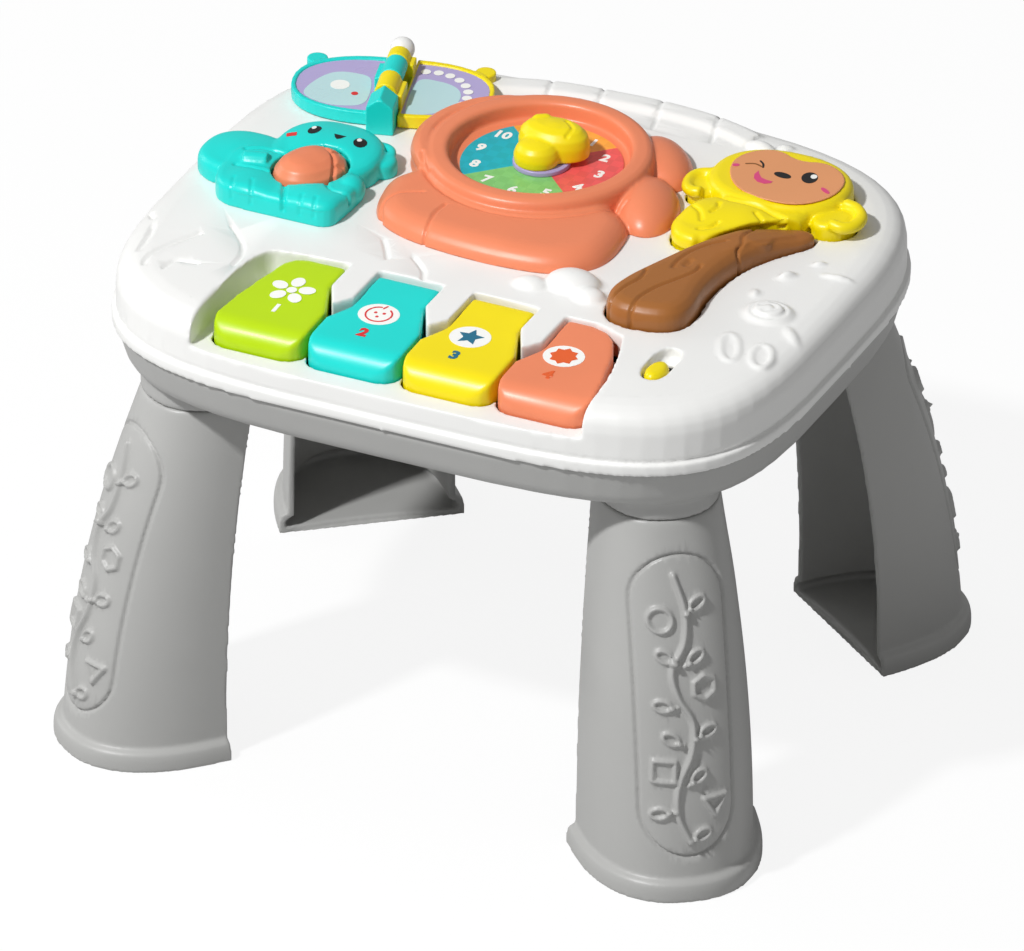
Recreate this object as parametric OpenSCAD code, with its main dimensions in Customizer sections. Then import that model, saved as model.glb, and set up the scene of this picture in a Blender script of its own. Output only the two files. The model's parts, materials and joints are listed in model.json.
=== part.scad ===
// Musical activity table: a play top on a shallow lower housing, carried by four
// open-backed legs that push into collars. Units are millimetres, +Z is up,
// and the origin lies on the floor under the middle of the table.

/* [Table] */
// Width of the table top over its lip
table_w = 330; // [310:1:400]
// Depth of the table top over its lip
table_d = 282; // [272:1:350]
// Squareness of the front corners
front_square = 4; // [3:0.1:6]
// Squareness of the back corners
back_square = 3.5; // [3:0.1:6]
// Height of the seam between top and housing
seam_z = 201; // [170:1:250]
// Height of the upright lip of the top
lip_h = 5.6; // [4:0.1:8]
// Rise of the top above its lip
dome_h = 25.4; // [25:0.1:34]
// Distance over which the shoulder of the top rounds over
shoulder = 30; // [20:1:36]
// Wall thickness of the top
top_wall = 2.6; // [2:0.1:3.2]
// Depth of the housing below the seam
housing_h = 21; // [20:0.5:30]
// Wall thickness of the housing
housing_wall = 2.5; // [2:0.1:3.2]

/* [Legs] */
// Distance of a foot's chord from the middle, along the width
leg_x = 117.7; // [110:0.1:122]
// Distance of a foot's chord from the middle, along the depth
leg_y = 96.6; // [92:0.1:100]
// Direction in which a leg faces, from the width axis
leg_turn = 52.4; // [48:0.1:57]
// Wall thickness of a leg
leg_wall = 3; // [2.4:0.1:4]
// Squareness of a leg's section
leg_square = 2.3; // [2:0.1:3]
// Half width of a leg above the foot
leg_half_low = 39.4; // [36:0.1:44]
// Half width of a leg at mid height
leg_half_mid = 36.9; // [33:0.1:42]
// Half width of a leg at the top
leg_half_top = 28.6; // [26:0.1:32]
// Depth of a leg above the foot
leg_deep_low = 59.4; // [50:0.1:64]
// Depth of a leg at mid height
leg_deep_mid = 50.6; // [44:0.1:58]
// Depth of a leg at the top
leg_deep_top = 39; // [34:0.1:42]
// How far a leg leans in at mid height
leg_in_mid = 4; // [0:0.1:10]
// How far a leg leans in at the top
leg_in_top = 19.3; // [14:0.1:24]
// Length of the collar under the housing
collar_h = 8; // [5:0.5:14]
// Wall of the collar
collar_wall = 3; // [2.4:0.1:4]
// Length of the leg's plug inside the collar
plug_h = 14; // [10:0.5:16]
// Clearance of the plug in the collar
plug_gap = 0.3; // [0.2:0.05:0.6]
// How far the foot flange stands out
foot_out = 4.2; // [2:0.1:6]
// Height of the foot flange
foot_h = 10; // [8:0.5:14]

/* [Keys] */
// Distance between neighbouring keys
key_pitch = 46.6; // [40:0.1:46.8]
// Gap between neighbouring keys
key_gap = 1.2; // [1:0.1:2]
// Width of the upright blocks between the keys
block_w = 14.5; // [10:0.1:16]
// Distance of the key fronts from the table's middle
key_front = 128; // [122:0.5:129]
// Distance of the visible back ends of the keys from the table's middle
key_back = 62; // [60:0.5:66]
// How far the keys fall towards their fronts
key_fall = 2.8; // [1:0.1:4]
// Radius of the rolled front of a key
key_roll = 11; // [7:0.5:12]
// Depth of the ledge in front of the keys, under the table top
ledge_drop = 15; // [13:0.5:16]
// Wall thickness of a key
key_wall = 2.2; // [1.6:0.1:3]
// Diameter of the key pin
key_pin_d = 3; // [2.4:0.1:4]
// Angle through which a key can be pressed
key_angle = 3; // [2:0.1:3.5]

/* [Fits] */
// Clearance of a pin or spindle in its bore
run_gap = 0.08; // [0.05:0.01:0.1]
// Clearance of a fixed part in its seat
seat_gap = 0.1; // [0.05:0.01:0.2]
// Play between a button or key and the shell round it
play_gap = 0.8; // [0.6:0.1:1]

/* [Dial] */
// Middle of the dial, from the table's middle along the width
dial_x = -10.7; // [-16:0.1:-6]
// Middle of the dial, from the table's middle along the depth
dial_y = 50; // [46:0.1:54]
// Outer radius of the ring round the dial
ring_r = 52; // [50:0.1:54]
// Radius of the well inside the ring
well_r = 40; // [38:0.1:42]
// Height of the ring above the table top
ring_h = 14; // [12:0.1:17]
// Depth of the well
well_h = 8; // [6:0.1:9]
// Radius of the printed dial card
card_r = 37; // [32:0.1:37.4]
// Radius of the lilac ring under the knob
base_ring_r = 13.2; // [11:0.1:15]
// Diameter of the knob's spindle
spindle_d = 8; // [6:0.1:9]

/* [Buttons] */
// Height of the toy figures above the table top
figure_h = 11; // [9:0.1:14]
// Edge rounding of the toy figures
figure_edge = 4.5; // [3:0.1:6]
// Wall thickness of the toy figures
figure_wall = 2.2; // [1.8:0.1:3]
// Travel of the push buttons
press_travel = 2.5; // [1.5:0.1:3]
// Half width of the acorn button
acorn_rx = 15.5; // [12:0.1:16]
// Half length of the acorn button
acorn_ry = 18.5; // [15:0.1:20]

/* [Flip book] */
// Front end of the book's pin bearing, along the width
book_x = -97; // [-100:0.1:-95]
// Front end of the book's pin bearing, along the depth
book_y = 67; // [65:0.1:70]
// Turn of the book on the table
book_turn = 15; // [12:0.5:18]
// Height of the book's pin above the table top
book_pin_h = 13; // [12.6:0.1:15]
// Diameter of the book's pin
book_pin_d = 4; // [3:0.1:5]
// Outer diameter of the knuckles on the book's pin
knuckle_d = 10.4; // [9:0.1:11]
// Length of the bearing along the pin
book_len = 38; // [34:0.5:42]
// Reach of a page from the pin
page_reach = 46.5; // [40:0.5:47]
// Length of a page along the pin
page_len = 54; // [46:0.5:54]
// Thickness of a page
page_t = 6.2; // [5:0.1:6.4]
// Clearance of a page over the table top
page_gap = 0.5; // [0.3:0.1:1]

/* [Power switch] */
// Middle of the switch slot, along the width
switch_x = 109.5; // [109:0.1:112]
// Middle of the switch slot, in front of the table's middle
switch_y = 82; // [78:0.5:86]
// Travel of the switch knob
switch_travel = 10; // [6:0.5:11]

/* [Inside] */
// Diameter of a battery cell
cell_d = 14.5; // [14:0.1:14.6]
// Length of a battery cell
cell_l = 50.5; // [49:0.1:50.8]
// Diameter of the speaker
speaker_d = 40; // [36:1:44]
// Diameter of the housing screws
screw_d = 3; // [2.5:0.1:3.5]
// Thickness of the circuit boards
board_t = 1.6; // [1:0.1:2]

/* [Hidden] */

// Heights that the pieces share
lip_z = seam_z + lip_h;
top_z = lip_z + dome_h;
under_z = top_z - top_wall;
ledge_z = top_z - ledge_drop;
floor_z = seam_z - housing_h;
inner_floor_z = floor_z + housing_wall;
collar_z = floor_z - collar_h;
figure_z = top_z + figure_h;
skirt_z = under_z - 3.4;
button_board_z = top_z - 20;
key_board_z = top_z - 22.9;

round_n = 64;
ring_points = 64;
shoulder_levels = 7;
shoulder_curve = 5;
lip_step = 1.5;
half_w = table_w / 2;
half_d = table_d / 2;
cut = 60;

white = [0.95, 0.95, 0.94];
grey = [0.64, 0.64, 0.63];
coral = [0.94, 0.54, 0.39];
teal = [0.12, 0.85, 0.82];
lime = [0.71, 0.88, 0.05];
yellow = [0.97, 0.88, 0.04];
brown = [0.63, 0.4, 0.23];
tan_skin = [0.93, 0.64, 0.43];
lilac = [0.69, 0.64, 0.84];
steel = [0.75, 0.76, 0.78];
green_board = [0.1, 0.4, 0.2];
dark = [0.12, 0.12, 0.12];

// ---------- Outlines and lofts ----------

function sign_of(v) = v < 0 ? -1 : 1;
function power(v, q) = sign_of(v) * pow(abs(v), 2 / q);
function at_height(outline, z) = [for (p = outline) [p[0], p[1], z]];
function shifted(outline, x, y) = [for (p = outline) [p[0] + x, p[1] + y]];
function turned(outline, a) = [for (p = outline)
    [p[0] * cos(a) - p[1] * sin(a), p[0] * sin(a) + p[1] * cos(a)]];

// Rounded oblong with its own squareness at the front and the back.
function oblong(a, b, q_front, q_back, n) = [for (i = [0 : n - 1])
    let (t = 360 * i / n, q = sin(t) < 0 ? q_front : q_back)
    [a * power(cos(t), q), b * power(sin(t), q)]];
function oval(a, b, n = 40) = oblong(a, b, 2, 2, n);

// One pass of corner cutting, which rounds a hand-drawn outline.
function cut_corners(p) = [for (i = [0 : len(p) - 1]) let (q = p[(i + 1) % len(p)])
    each [0.75 * p[i] + 0.25 * q, 0.25 * p[i] + 0.75 * q]];
function smooth(p, passes = 2) = passes == 0 ? p : smooth(cut_corners(p), passes - 1);

// Outline moved outwards by d along its own normals (inwards if d is negative).
function grown(p, d) = [for (i = [0 : len(p) - 1])
    let (a = p[(i + len(p) - 1) % len(p)], b = p[(i + 1) % len(p)],
         t = (b - a) / norm(b - a))
    p[i] + d * [t[1], -t[0]]];

// Closed solid through rings of points; rings run anticlockwise seen from ahead.
module loft(rings) {
    n = len(rings[0]);
    last = (len(rings) - 1) * n;
    sides = [for (k = [0 : len(rings) - 2]) for (i = [0 : n - 1])
        let (j = (i + 1) % n, a = k * n, b = (k + 1) * n)
        each [[a + i, b + i, b + j], [a + i, b + j, a + j]]];
    ends = [[for (i = [0 : n - 1]) i], [for (i = [n - 1 : -1 : 0]) last + i]];
    polyhedron(points = [for (r = rings) each r], faces = concat(sides, ends));
}

// Upright block from an outline, with its top edge rounded by edge.
module mound(outline, z0, z1, edge) {
    loft(concat([at_height(outline, z0)], [for (a = [0 : 30 : 90])
        at_height(grown(outline, -edge * (1 - cos(a))), z1 - edge + edge * sin(a))]));
}

module slab(outline, z0, z1) {
    translate([0, 0, z0])
        linear_extrude(z1 - z0)
            polygon(outline);
}

module box(x0, x1, y0, y1, z0, z1) {
    translate([x0, y0, z0])
        cube([x1 - x0, y1 - y0, z1 - z0]);
}

module rod(x, y, r, z0, z1) {
    translate([x, y, z0])
        cylinder(r = r, h = z1 - z0, $fn = round_n);
}

module tube(x, y, r_out, r_in, z0, z1) {
    difference() {
        rod(x, y, r_out, z0, z1);
        rod(x, y, r_in, z0 - 1, z1 + 1);
    }
}

// Cylinder along X with its axis at height z.
module cross_rod(x0, x1, y, z, r) {
    translate([x0, y, z])
        rotate([0, 90, 0])
            cylinder(r = r, h = x1 - x0, $fn = round_n);
}

// Helical spring of round wire, standing on z0.
module spring(x, y, r, wire_r, turns, z0, z1) {
    steps = 10;
    rise = z1 - z0 - 2 * wire_r;
    loft([for (i = [0 : turns * steps])
        let (a = 360 * i / steps, z = z0 + wire_r + rise * i / (turns * steps))
        [for (f = [0 : 60 : 300])
            [x + (r + wire_r * sin(f)) * cos(a), y + (r + wire_r * sin(f)) * sin(a), z + wire_r * cos(f)]]]);
}

// Round lead through the points of a route.
module lead(route, r) {
    loft([for (i = [0 : len(route) - 1])
        let (a = route[max(i - 1, 0)], b = route[min(i + 1, len(route) - 1)],
             t = (b - a) / norm(b - a), side = cross(t, [0, 0, 1]) / norm(cross(t, [0, 0, 1])),
             up = cross(t, side))
        [for (f = [0 : 45 : 315]) route[i] + r * (cos(f) * side + sin(f) * up)]]);
}

// Screw that goes up: its head starts at z_head, its shank ends at z_tip.
module screw(x, y, z_head, z_tip, d = screw_d) {
    head_h = 0.7 * d;
    rod(x, y, d, z_head, z_head + head_h);
    rod(x, y, d / 2, z_head + head_h, z_tip);
}
function screw_head_h(d = screw_d) = 0.7 * d;

// ---------- Table top and housing ----------

function table_outline(inset) =
    oblong(half_w - inset, half_d - inset, front_square, back_square, ring_points);
function shoulder_in(a) = lip_step + shoulder * (1 - pow(cos(a), 2 / shoulder_curve));
function shoulder_up(a) = pow(sin(a), 2 / shoulder_curve);

// Dome of the table top, smaller by d all round.
module dome(d) {
    rise = dome_h - d;
    loft(concat(
        [at_height(table_outline(d), seam_z - (d > 0 ? 1 : 0)),
         at_height(table_outline(d), lip_z - d / 2)],
        [for (i = [0 : shoulder_levels]) let (a = 90 * i / shoulder_levels)
            at_height(table_outline(d + shoulder_in(a)), lip_z + 0.6 - d / 2 + (rise + d / 2 - 0.6) * shoulder_up(a))]));
}

// Keys: the boundary k lies to the left of key k.
function key_edge(k) = (k - 2) * key_pitch;
function key_mid(k) = key_edge(k + 0.5);
key_top_z = top_z - 1;
key_front_z = key_top_z - key_fall;
key_skirt_z = ledge_z - top_wall - 0.4;
block_back = key_back + 22;
block_tip = key_back + 37;

// Plan of key k, seen from above and anticlockwise.
function key_plan(k) = let (
        left = key_edge(k) + key_gap / 2, right = key_edge(k + 1) - key_gap / 2,
        waist = block_w / 2 + play_gap - key_gap / 2)
    concat(
        k == 0
            ? [[left + 19, -key_back], [left + 13.5, -key_back - 1.8], [left + 10, -key_back - 6.5],
               [left + 5.5, -key_back - 24], [left + 2, -key_back - 40]]
            : [[left + waist, -key_back], [left + waist, -block_back - 4], [left, -block_tip - 4]],
        [[left, -key_front + 10], [left + 1.4, -key_front + 4.6], [left + 4.6, -key_front + 1.4],
         [left + 10, -key_front], [right - 10, -key_front], [right - 4.6, -key_front + 1.4],
         [right - 1.4, -key_front + 4.6], [right, -key_front + 10]],
        k == 3
            ? [[right - 2, -key_back - 42], [right - 7.5, -key_back - 18], [right - 12, -key_back - 8],
               [right - 17, -key_back - 2.6], [right - 25, -key_back]]
            : [[right, -block_tip], [right - waist, -block_back + 4], [right - waist, -key_back]]);

// Side view of a key, with its top lowered by d and its front moved back by d.
function key_side(d) = concat(
    [[-key_back + 1, key_skirt_z - (d > 0 ? 1 : 0)], [-key_back + 1, key_top_z - d]],
    [for (a = [0 : 15 : 90]) [-key_front + key_roll - (key_roll - d) * sin(a),
        key_front_z - key_roll + (key_roll - d) * cos(a)]],
    [[-key_front + d, key_skirt_z - (d > 0 ? 1 : 0)]]);

module key_volume(k, d) {
    intersection() {
        slab(grown(key_plan(k), -d), key_skirt_z - 2, top_z);
        translate([key_edge(k), 0, 0])
            rotate([90, 0, 90])
                linear_extrude(key_pitch)
                    polygon(key_side(d));
    }
}

key_pin_y = -key_back + 14;
key_pin_z = top_z - 11;
key_arm_half = 11;
key_boss_half = 19;
key_boss_r = key_pin_d / 2 + 2;
dome_strip_y = -key_back - 30;
dome_r = 5;
dome_rubber_h = 4;
strip_z = key_board_z + board_t;
strip_t = 1;
dome_top_z = strip_z + strip_t + dome_rubber_h;

module key(k) {
    difference() {
        union() {
            difference() {
                key_volume(k, 0);
                key_volume(k, key_wall);
            }
            box(key_mid(k) - key_arm_half, key_mid(k) + key_arm_half, -key_back - 1.5, key_pin_y,
                key_pin_z - key_boss_r, key_pin_z + key_boss_r);
            cross_rod(key_mid(k) - key_boss_half, key_mid(k) + key_boss_half, key_pin_y, key_pin_z, key_boss_r);
            rod(key_mid(k), dome_strip_y, 3, dome_top_z, key_front_z - 0.2);
        }
        cross_rod(key_edge(k), key_edge(k + 1), key_pin_y, key_pin_z, key_pin_d / 2 + run_gap);
    }
}

// Recess in which the keys lie, open to the front.
pocket_half = 2 * key_pitch + 5.2;
pocket_back = key_back - play_gap - 2;
function pocket_plan() = smooth([[-pocket_half + 1, -half_d - 20], [pocket_half - 3.5, -half_d - 20],
    [pocket_half - 4, -key_back - 46], [pocket_half - 10, -key_back - 18], [pocket_half - 18, -pocket_back],
    [-pocket_half + 12, -pocket_back], [-pocket_half + 1.5, -key_back - 8], [-pocket_half, -key_back - 50]]);

// Upright block at the boundary k, between two keys.
function block_plan(k) = [[key_edge(k) - block_w / 2, -pocket_back + 1],
    [key_edge(k) - block_w / 2, -block_back + 4 + play_gap / 2], [key_edge(k) + 0.5, -block_tip + 3.5],
    [key_edge(k) + block_w / 2, -block_back - 2], [key_edge(k) + block_w / 2, -pocket_back + 1]];

module blocks(d = 0) {
    for (k = [1 : 3])
        slab(d == 0 ? block_plan(k) : grown(block_plan(k), d), ledge_z - top_wall - 1, top_z + 1);
}

// Openings for the keys and for the arms that reach back to the pin.
module key_openings() {
    for (k = [0 : 3]) {
        slab(grown(key_plan(k), play_gap), floor_z, top_z + 1);
        box(key_mid(k) - key_arm_half - play_gap, key_mid(k) + key_arm_half + play_gap,
            -key_back - 4, -pocket_back + top_wall + 1, floor_z, key_pin_z + key_boss_r + 1.2);
    }
}

// Outlines of the toy figures that pass through the top.
acorn_at = [-100.5, -4];
acorn_turn = -24;
function acorn_plan() = shifted(turned(oval(acorn_rx, acorn_ry), acorn_turn), acorn_at[0], acorn_at[1]);
head_at = [95, 78];
function head_plan() = shifted(oblong(33.5, 26.5, 2.3, 2.2, 48), head_at[0], head_at[1]);
function left_ear_plan() = shifted(oval(8, 8, 24), 64, 64);
function right_ear_plan() = shifted(turned(oval(10.5, 8, 24), 50), 128.8, 60.8);
function paw_plan() = smooth([[64, 30], [68, 18], [80, 14], [92, 20], [104, 34], [116, 44], [120, 60],
    [90, 62], [70, 52]]);
function log_plan() = smooth([[65, -44], [71, -57], [86, -59], [102, -55], [107, -42], [103, -20], [106, 8],
    [115, 27], [129, 46], [119, 51], [102, 39], [84, 14], [73, -14], [67, -30]]);
slot_at = [switch_x, -switch_y];
switch_knob_rx = 5;
switch_knob_ry = 8;
slot_half = switch_knob_ry + switch_travel / 2 + 1.5;
function slot_plan(d) = oblong(switch_knob_rx + 1.2 + d, slot_half + d, 2.6, 2.6, 40);
slot_floor_z = top_z - 5.5;
stem_rx = 2.5;
stem_ry = 4;

housing_screw_at = [[-142, -45], [142, -45], [142, 45], [-142, 45], [-40, 118], [40, 118]];
frame_screw_at = [[-106, -112], [106, -112], [-52, -40], [52, -40]];
button_screw_at = [[56, 0], [56, 46], [134, 20], [133.5, 86], [120, -28]];
acorn_screw_at = [[-124, -22], [-79, -22], [-79, 20], [-124, 20]];
dial_screw_at = [for (a = [45 : 90 : 315]) [dial_x + 20 * cos(a), dial_y + 20 * sin(a)]];
surround_screw_at = [for (a = [30, 150, 270]) [dial_x + 45 * cos(a), dial_y + 45 * sin(a)]];
squirrel_screw_at = [[-127, -2], [-101, 29]];
post_screw_s = -9;
boss_r = 3.6;
thread_gap = 0.05;
boss_joint_z = seam_z - 5;
pilot = screw_d / 2 + thread_gap;
board_screw_d = 2.2;
board_pilot = board_screw_d / 2 + thread_gap;
pass_r = screw_d / 2 + 0.3;

module bosses(places, z0) {
    for (p = places)
        rod(p[0], p[1], boss_r, z0, under_z + 0.5);
}
module pilots(places, z0, r, depth) {
    for (p = places)
        rod(p[0], p[1], r, z0 - 1, z0 + depth);
}

// Book frame: s runs back along the pin, r across it to the right.
pin_z = top_z + book_pin_h;
module on_book() {
    translate([book_x, book_y, pin_z])
        rotate([0, 0, book_turn])
            children();
}
module along_pin(s0, s1, r) {
    translate([0, s0, 0])
        rotate([-90, 0, 0])
            cylinder(r = r, h = s1 - s0, $fn = round_n);
}
pin_front_s = -8;
pin_back_s = book_len + 7;
ball_r = 5.8;

module top_shell() {
    color(white)
        difference() {
            union() {
                difference() {
                    dome(0);
                    difference() {
                        dome(top_wall);
                        slab(grown(pocket_plan(), top_wall), ledge_z - top_wall, top_z + 1);
                        slab(shifted(slot_plan(top_wall), slot_at[0], slot_at[1]), slot_floor_z - top_wall, top_z + 1);
                    }
                }
                bosses(housing_screw_at, boss_joint_z);
                bosses(frame_screw_at, key_board_z);
                bosses(button_screw_at, button_board_z);
                bosses(acorn_screw_at, button_board_z);
                bosses(dial_screw_at, under_z - 2.8);
                on_book()
                    difference() {
                        union() {
                            translate([0, book_len + 0.4 + ball_r, 0])
                                sphere(r = ball_r, $fn = round_n);
                            translate([-4, book_len + 0.4, -book_pin_h - 1])
                                cube([8, 2 * ball_r - 1, book_pin_h + 1]);
                        }
                        along_pin(pin_front_s, pin_back_s + seat_gap, book_pin_d / 2 + seat_gap);
                    }
            }
            difference() {
                slab(pocket_plan(), ledge_z, top_z + 1);
                blocks();
            }
            for (k = [1 : 3])
                slab(grown(block_plan(k), -top_wall), floor_z, top_z - top_wall);
            key_openings();
            slab(grown(acorn_plan(), play_gap), floor_z, top_z + 1);
            for (p = [head_plan(), left_ear_plan(), right_ear_plan(), paw_plan(), log_plan()])
                slab(grown(p, play_gap), under_z - 1, top_z + 1);
            slab(shifted(slot_plan(0), slot_at[0], slot_at[1]), slot_floor_z, top_z + 1);
            box(slot_at[0] - stem_rx - 0.5, slot_at[0] + stem_rx + 0.5,
                slot_at[1] - switch_travel / 2 - stem_ry - 0.5, slot_at[1] + switch_travel / 2 + stem_ry + 0.5,
                slot_floor_z - top_wall - 1, top_z);
            rod(dial_x, dial_y, spindle_d / 2 + 1.5, under_z - 1, top_z + 1);
            pilots(housing_screw_at, boss_joint_z, pilot, 16);
            pilots(frame_screw_at, key_board_z, board_pilot, 9);
            pilots(button_screw_at, button_board_z, board_pilot, 9);
            pilots(acorn_screw_at, button_board_z, board_pilot, 9);
            pilots(dial_screw_at, under_z - 2.8, board_pilot, 4);
            pilots(surround_screw_at, under_z, pass_r, 5);
            pilots(squirrel_screw_at, under_z, pass_r, 5);
            on_book()
                translate([0, post_screw_s, -book_pin_h - top_wall - 1])
                    cylinder(r = pass_r, h = top_wall + 2, $fn = round_n);
        }
}

// Leg section: a D on its chord, with the chord ends at side -1 and +1.
function bend(z, low, mid, high) = let (a = foot_h, c = collar_z, b = (a + c) / 2)
    low * (z - b) * (z - c) / ((a - b) * (a - c)) + mid * (z - a) * (z - c) / ((b - a) * (b - c))
    + high * (z - a) * (z - b) / ((c - a) * (c - b));
leg_dir = [cos(leg_turn), sin(leg_turn)];
leg_side = [-sin(leg_turn), cos(leg_turn)];
function leg_curve(z, out, n = 8) = let (
        w = bend(z, leg_half_low, leg_half_mid, leg_half_top) + out,
        d = bend(z, leg_deep_low, leg_deep_mid, leg_deep_top) + out,
        c = -bend(z, 0, leg_in_mid, leg_in_top))
    [for (i = [-n : n]) let (t = 90 * i / n)
        [leg_x, leg_y] + leg_dir * (c + d * power(cos(t), leg_square)) + leg_side * w * power(sin(t), leg_square)];
function backwards(p) = [for (i = [len(p) - 1 : -1 : 0]) p[i]];
// Straight chord of the section, bowed in by bow at its middle.
function leg_chord(z, out, bow, n = 8) = let (
        w = bend(z, leg_half_low, leg_half_mid, leg_half_top) + out, c = -bend(z, 0, leg_in_mid, leg_in_top))
    [for (i = [-n : n]) [leg_x, leg_y] + leg_dir * (c + bow * (1 - i * i / n / n)) + leg_side * w * i / n];
// Ring of the C-shaped wall at height z, from outside out to inside in.
function leg_ring(z, out, in, shape_z) =
    at_height(concat(leg_curve(shape_z, out), backwards(leg_curve(shape_z, in))), z);
// Ring of a plate that closes the section from the curve to the chord.
function plate_ring(z, out, in, shape_z, bow = 0) =
    at_height(concat(leg_curve(shape_z, out), backwards(leg_chord(shape_z, in, bow))), z);
foot_plate_t = 2.5;
foot_bow = 3;
leg_cap_t = 3;
ramp = 0.3;

module leg() {
    cap_z = collar_z - leg_cap_t;
    plug_out = -collar_wall - plug_gap;
    loft(concat(
        [plate_ring(0, foot_out, foot_out - leg_wall, foot_h, foot_bow),
         plate_ring(foot_plate_t, foot_out, foot_out - leg_wall, foot_h, foot_bow),
         leg_ring(foot_plate_t + ramp, foot_out, foot_out - leg_wall, foot_h),
         leg_ring(foot_h - 4, foot_out, foot_out - leg_wall, foot_h),
         leg_ring(foot_h - 1.5, foot_out - 0.8, -leg_wall, foot_h),
         leg_ring(foot_h - 0.2, foot_out - 2.6, -leg_wall, foot_h)],
        [for (i = [0 : 6]) let (z = foot_h + (cap_z - foot_h) * i / 6) leg_ring(z, 0, -leg_wall, z)],
        [plate_ring(cap_z + ramp, 0, -leg_wall, cap_z),
         plate_ring(collar_z - ramp, 0, -leg_wall, collar_z),
         plate_ring(collar_z, plug_out, plug_out - leg_wall, collar_z),
         leg_ring(collar_z + ramp, plug_out, plug_out - leg_wall, collar_z),
         leg_ring(collar_z + plug_h, plug_out, plug_out - leg_wall, collar_z)]));
}

module front_left_leg() {
    color(grey)
        mirror([1, 0, 0])
            mirror([0, 1, 0])
                leg();
}
module front_right_leg() {
    color(grey)
        mirror([0, 1, 0])
            leg();
}
module back_right_leg() {
    color(grey)
        leg();
}
module back_left_leg() {
    color(grey)
        mirror([1, 0, 0])
            leg();
}

module at_each_leg() {
    for (mx = [0, 1], my = [0, 1])
        mirror([mx, 0, 0])
            mirror([0, my, 0])
                children();
}

cell_pitch = cell_d + 0.8;
box_wall = 1.6;
box_half_x = cell_l / 2 + 2.2 + box_wall;
box_half_y = 1.5 * cell_pitch + 0.6 + box_wall;
cell_z = inner_floor_z + cell_d / 2 + 0.6;
box_top_z = cell_z + cell_d / 2 + 0.6 + box_wall;
door_half_x = box_half_x - box_wall - 0.4;
door_screw_y = box_half_y + boss_r + 0.4;
door_half_y = door_screw_y + boss_r + 1;
speaker_at = [0, -84];
speaker_h = 14;
main_board_z = inner_floor_z + 10;
main_board = [-50, 50, 44, 104];
main_screw_at = [[-46, 48], [46, 48], [46, 100], [-46, 100]];
speaker_screw_at = [[-26, -84], [26, -84]];

module base_housing() {
    color(grey)
        difference() {
            union() {
                loft([at_height(table_outline(20), floor_z), at_height(table_outline(11), floor_z + 0.8),
                    at_height(table_outline(7), floor_z + 2.8), at_height(table_outline(5), floor_z + 6.5),
                    at_height(table_outline(lip_step), seam_z),
                    at_height(table_outline(lip_step + housing_wall), seam_z),
                    at_height(table_outline(5 + housing_wall), floor_z + 7.5),
                    at_height(table_outline(8 + housing_wall), inner_floor_z + 1.8),
                    at_height(table_outline(12 + housing_wall), inner_floor_z)]);
                at_each_leg()
                    slab(leg_curve(collar_z, 0), collar_z, collar_z + plug_h + 1.5 + housing_wall);
                for (p = housing_screw_at)
                    rod(p[0], p[1], boss_r + 1, floor_z + 1, boss_joint_z);
                for (p = main_screw_at)
                    rod(p[0], p[1], boss_r - 0.6, inner_floor_z - 1, main_board_z);
                for (p = speaker_screw_at)
                    rod(p[0], p[1], boss_r, inner_floor_z - 1, inner_floor_z + 4);
                tube(speaker_at[0], speaker_at[1], speaker_d / 2 + 2.2, speaker_d / 2 + 0.4,
                    inner_floor_z - 0.5, inner_floor_z + 3);
                rod(0, door_screw_y, boss_r, inner_floor_z - 1, inner_floor_z + 8);
            }
            at_each_leg()
                slab(leg_curve(collar_z, -collar_wall), collar_z - 1, collar_z + plug_h + 1.5);
            for (p = housing_screw_at) {
                rod(p[0], p[1], pass_r, floor_z, boss_joint_z + 1);
                rod(p[0], p[1], screw_d + 0.6, floor_z - 1, floor_z + 8);
            }
            for (p = main_screw_at)
                rod(p[0], p[1], board_pilot, inner_floor_z + 1, main_board_z + 1);
            for (p = speaker_screw_at)
                rod(p[0], p[1], board_pilot, inner_floor_z, inner_floor_z + 5);
            for (ring = [[1, 0], [6, 5.5], [12, 11]], i = [0 : ring[0] - 1])
                rod(speaker_at[0] + ring[1] * cos(360 * i / ring[0]), speaker_at[1] + ring[1] * sin(360 * i / ring[0]),
                    1.5, floor_z - 1, inner_floor_z + 1);
            box(-box_half_x + box_wall, box_half_x - box_wall, -box_half_y + box_wall, box_half_y - box_wall,
                floor_z - 1, inner_floor_z + 1);
            box(-door_half_x - 0.4, door_half_x + 0.4, -box_half_y + box_wall, door_half_y + 0.4,
                floor_z - 1, floor_z + 1.6);
            rod(0, door_screw_y, pilot, floor_z, inner_floor_z + 6);
        }
}

// ---------- Keys ----------

module lime_key() {
    color(lime)
        key(0);
}
module teal_key() {
    color(teal)
        key(1);
}
module yellow_key() {
    color(yellow)
        key(2);
}
module coral_key() {
    color(coral)
        key(3);
}

frame_t = 2.5;
frame_half = 2 * key_pitch + 3;
bracket_half = 1.5;

module key_frame() {
    color(dark)
        difference() {
            union() {
                box(-frame_half, frame_half, -key_front + 1, key_pin_y + 4, key_board_z - frame_t, key_board_z);
                for (p = frame_screw_at)
                    box(min(p[0] - 4, sign_of(p[0]) * (frame_half - 5)), max(p[0] + 4, sign_of(p[0]) * (frame_half - 5)),
                        min(p[1] - 4, key_pin_y - 3), max(p[1] + 4, key_pin_y - 3), key_board_z - frame_t, key_board_z);
                for (k = [0 : 4])
                    box(key_edge(k) - bracket_half, key_edge(k) + bracket_half, key_pin_y - 4, key_pin_y + 4,
                        key_board_z - 1, key_pin_z + 3.5);
            }
            cross_rod(key_edge(0) - 4, key_edge(4) + 4, key_pin_y, key_pin_z, key_pin_d / 2 + seat_gap);
            for (p = frame_screw_at)
                rod(p[0], p[1], board_screw_d / 2 + 0.3, key_board_z - frame_t - 1, key_board_z + 1);
        }
}
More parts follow.
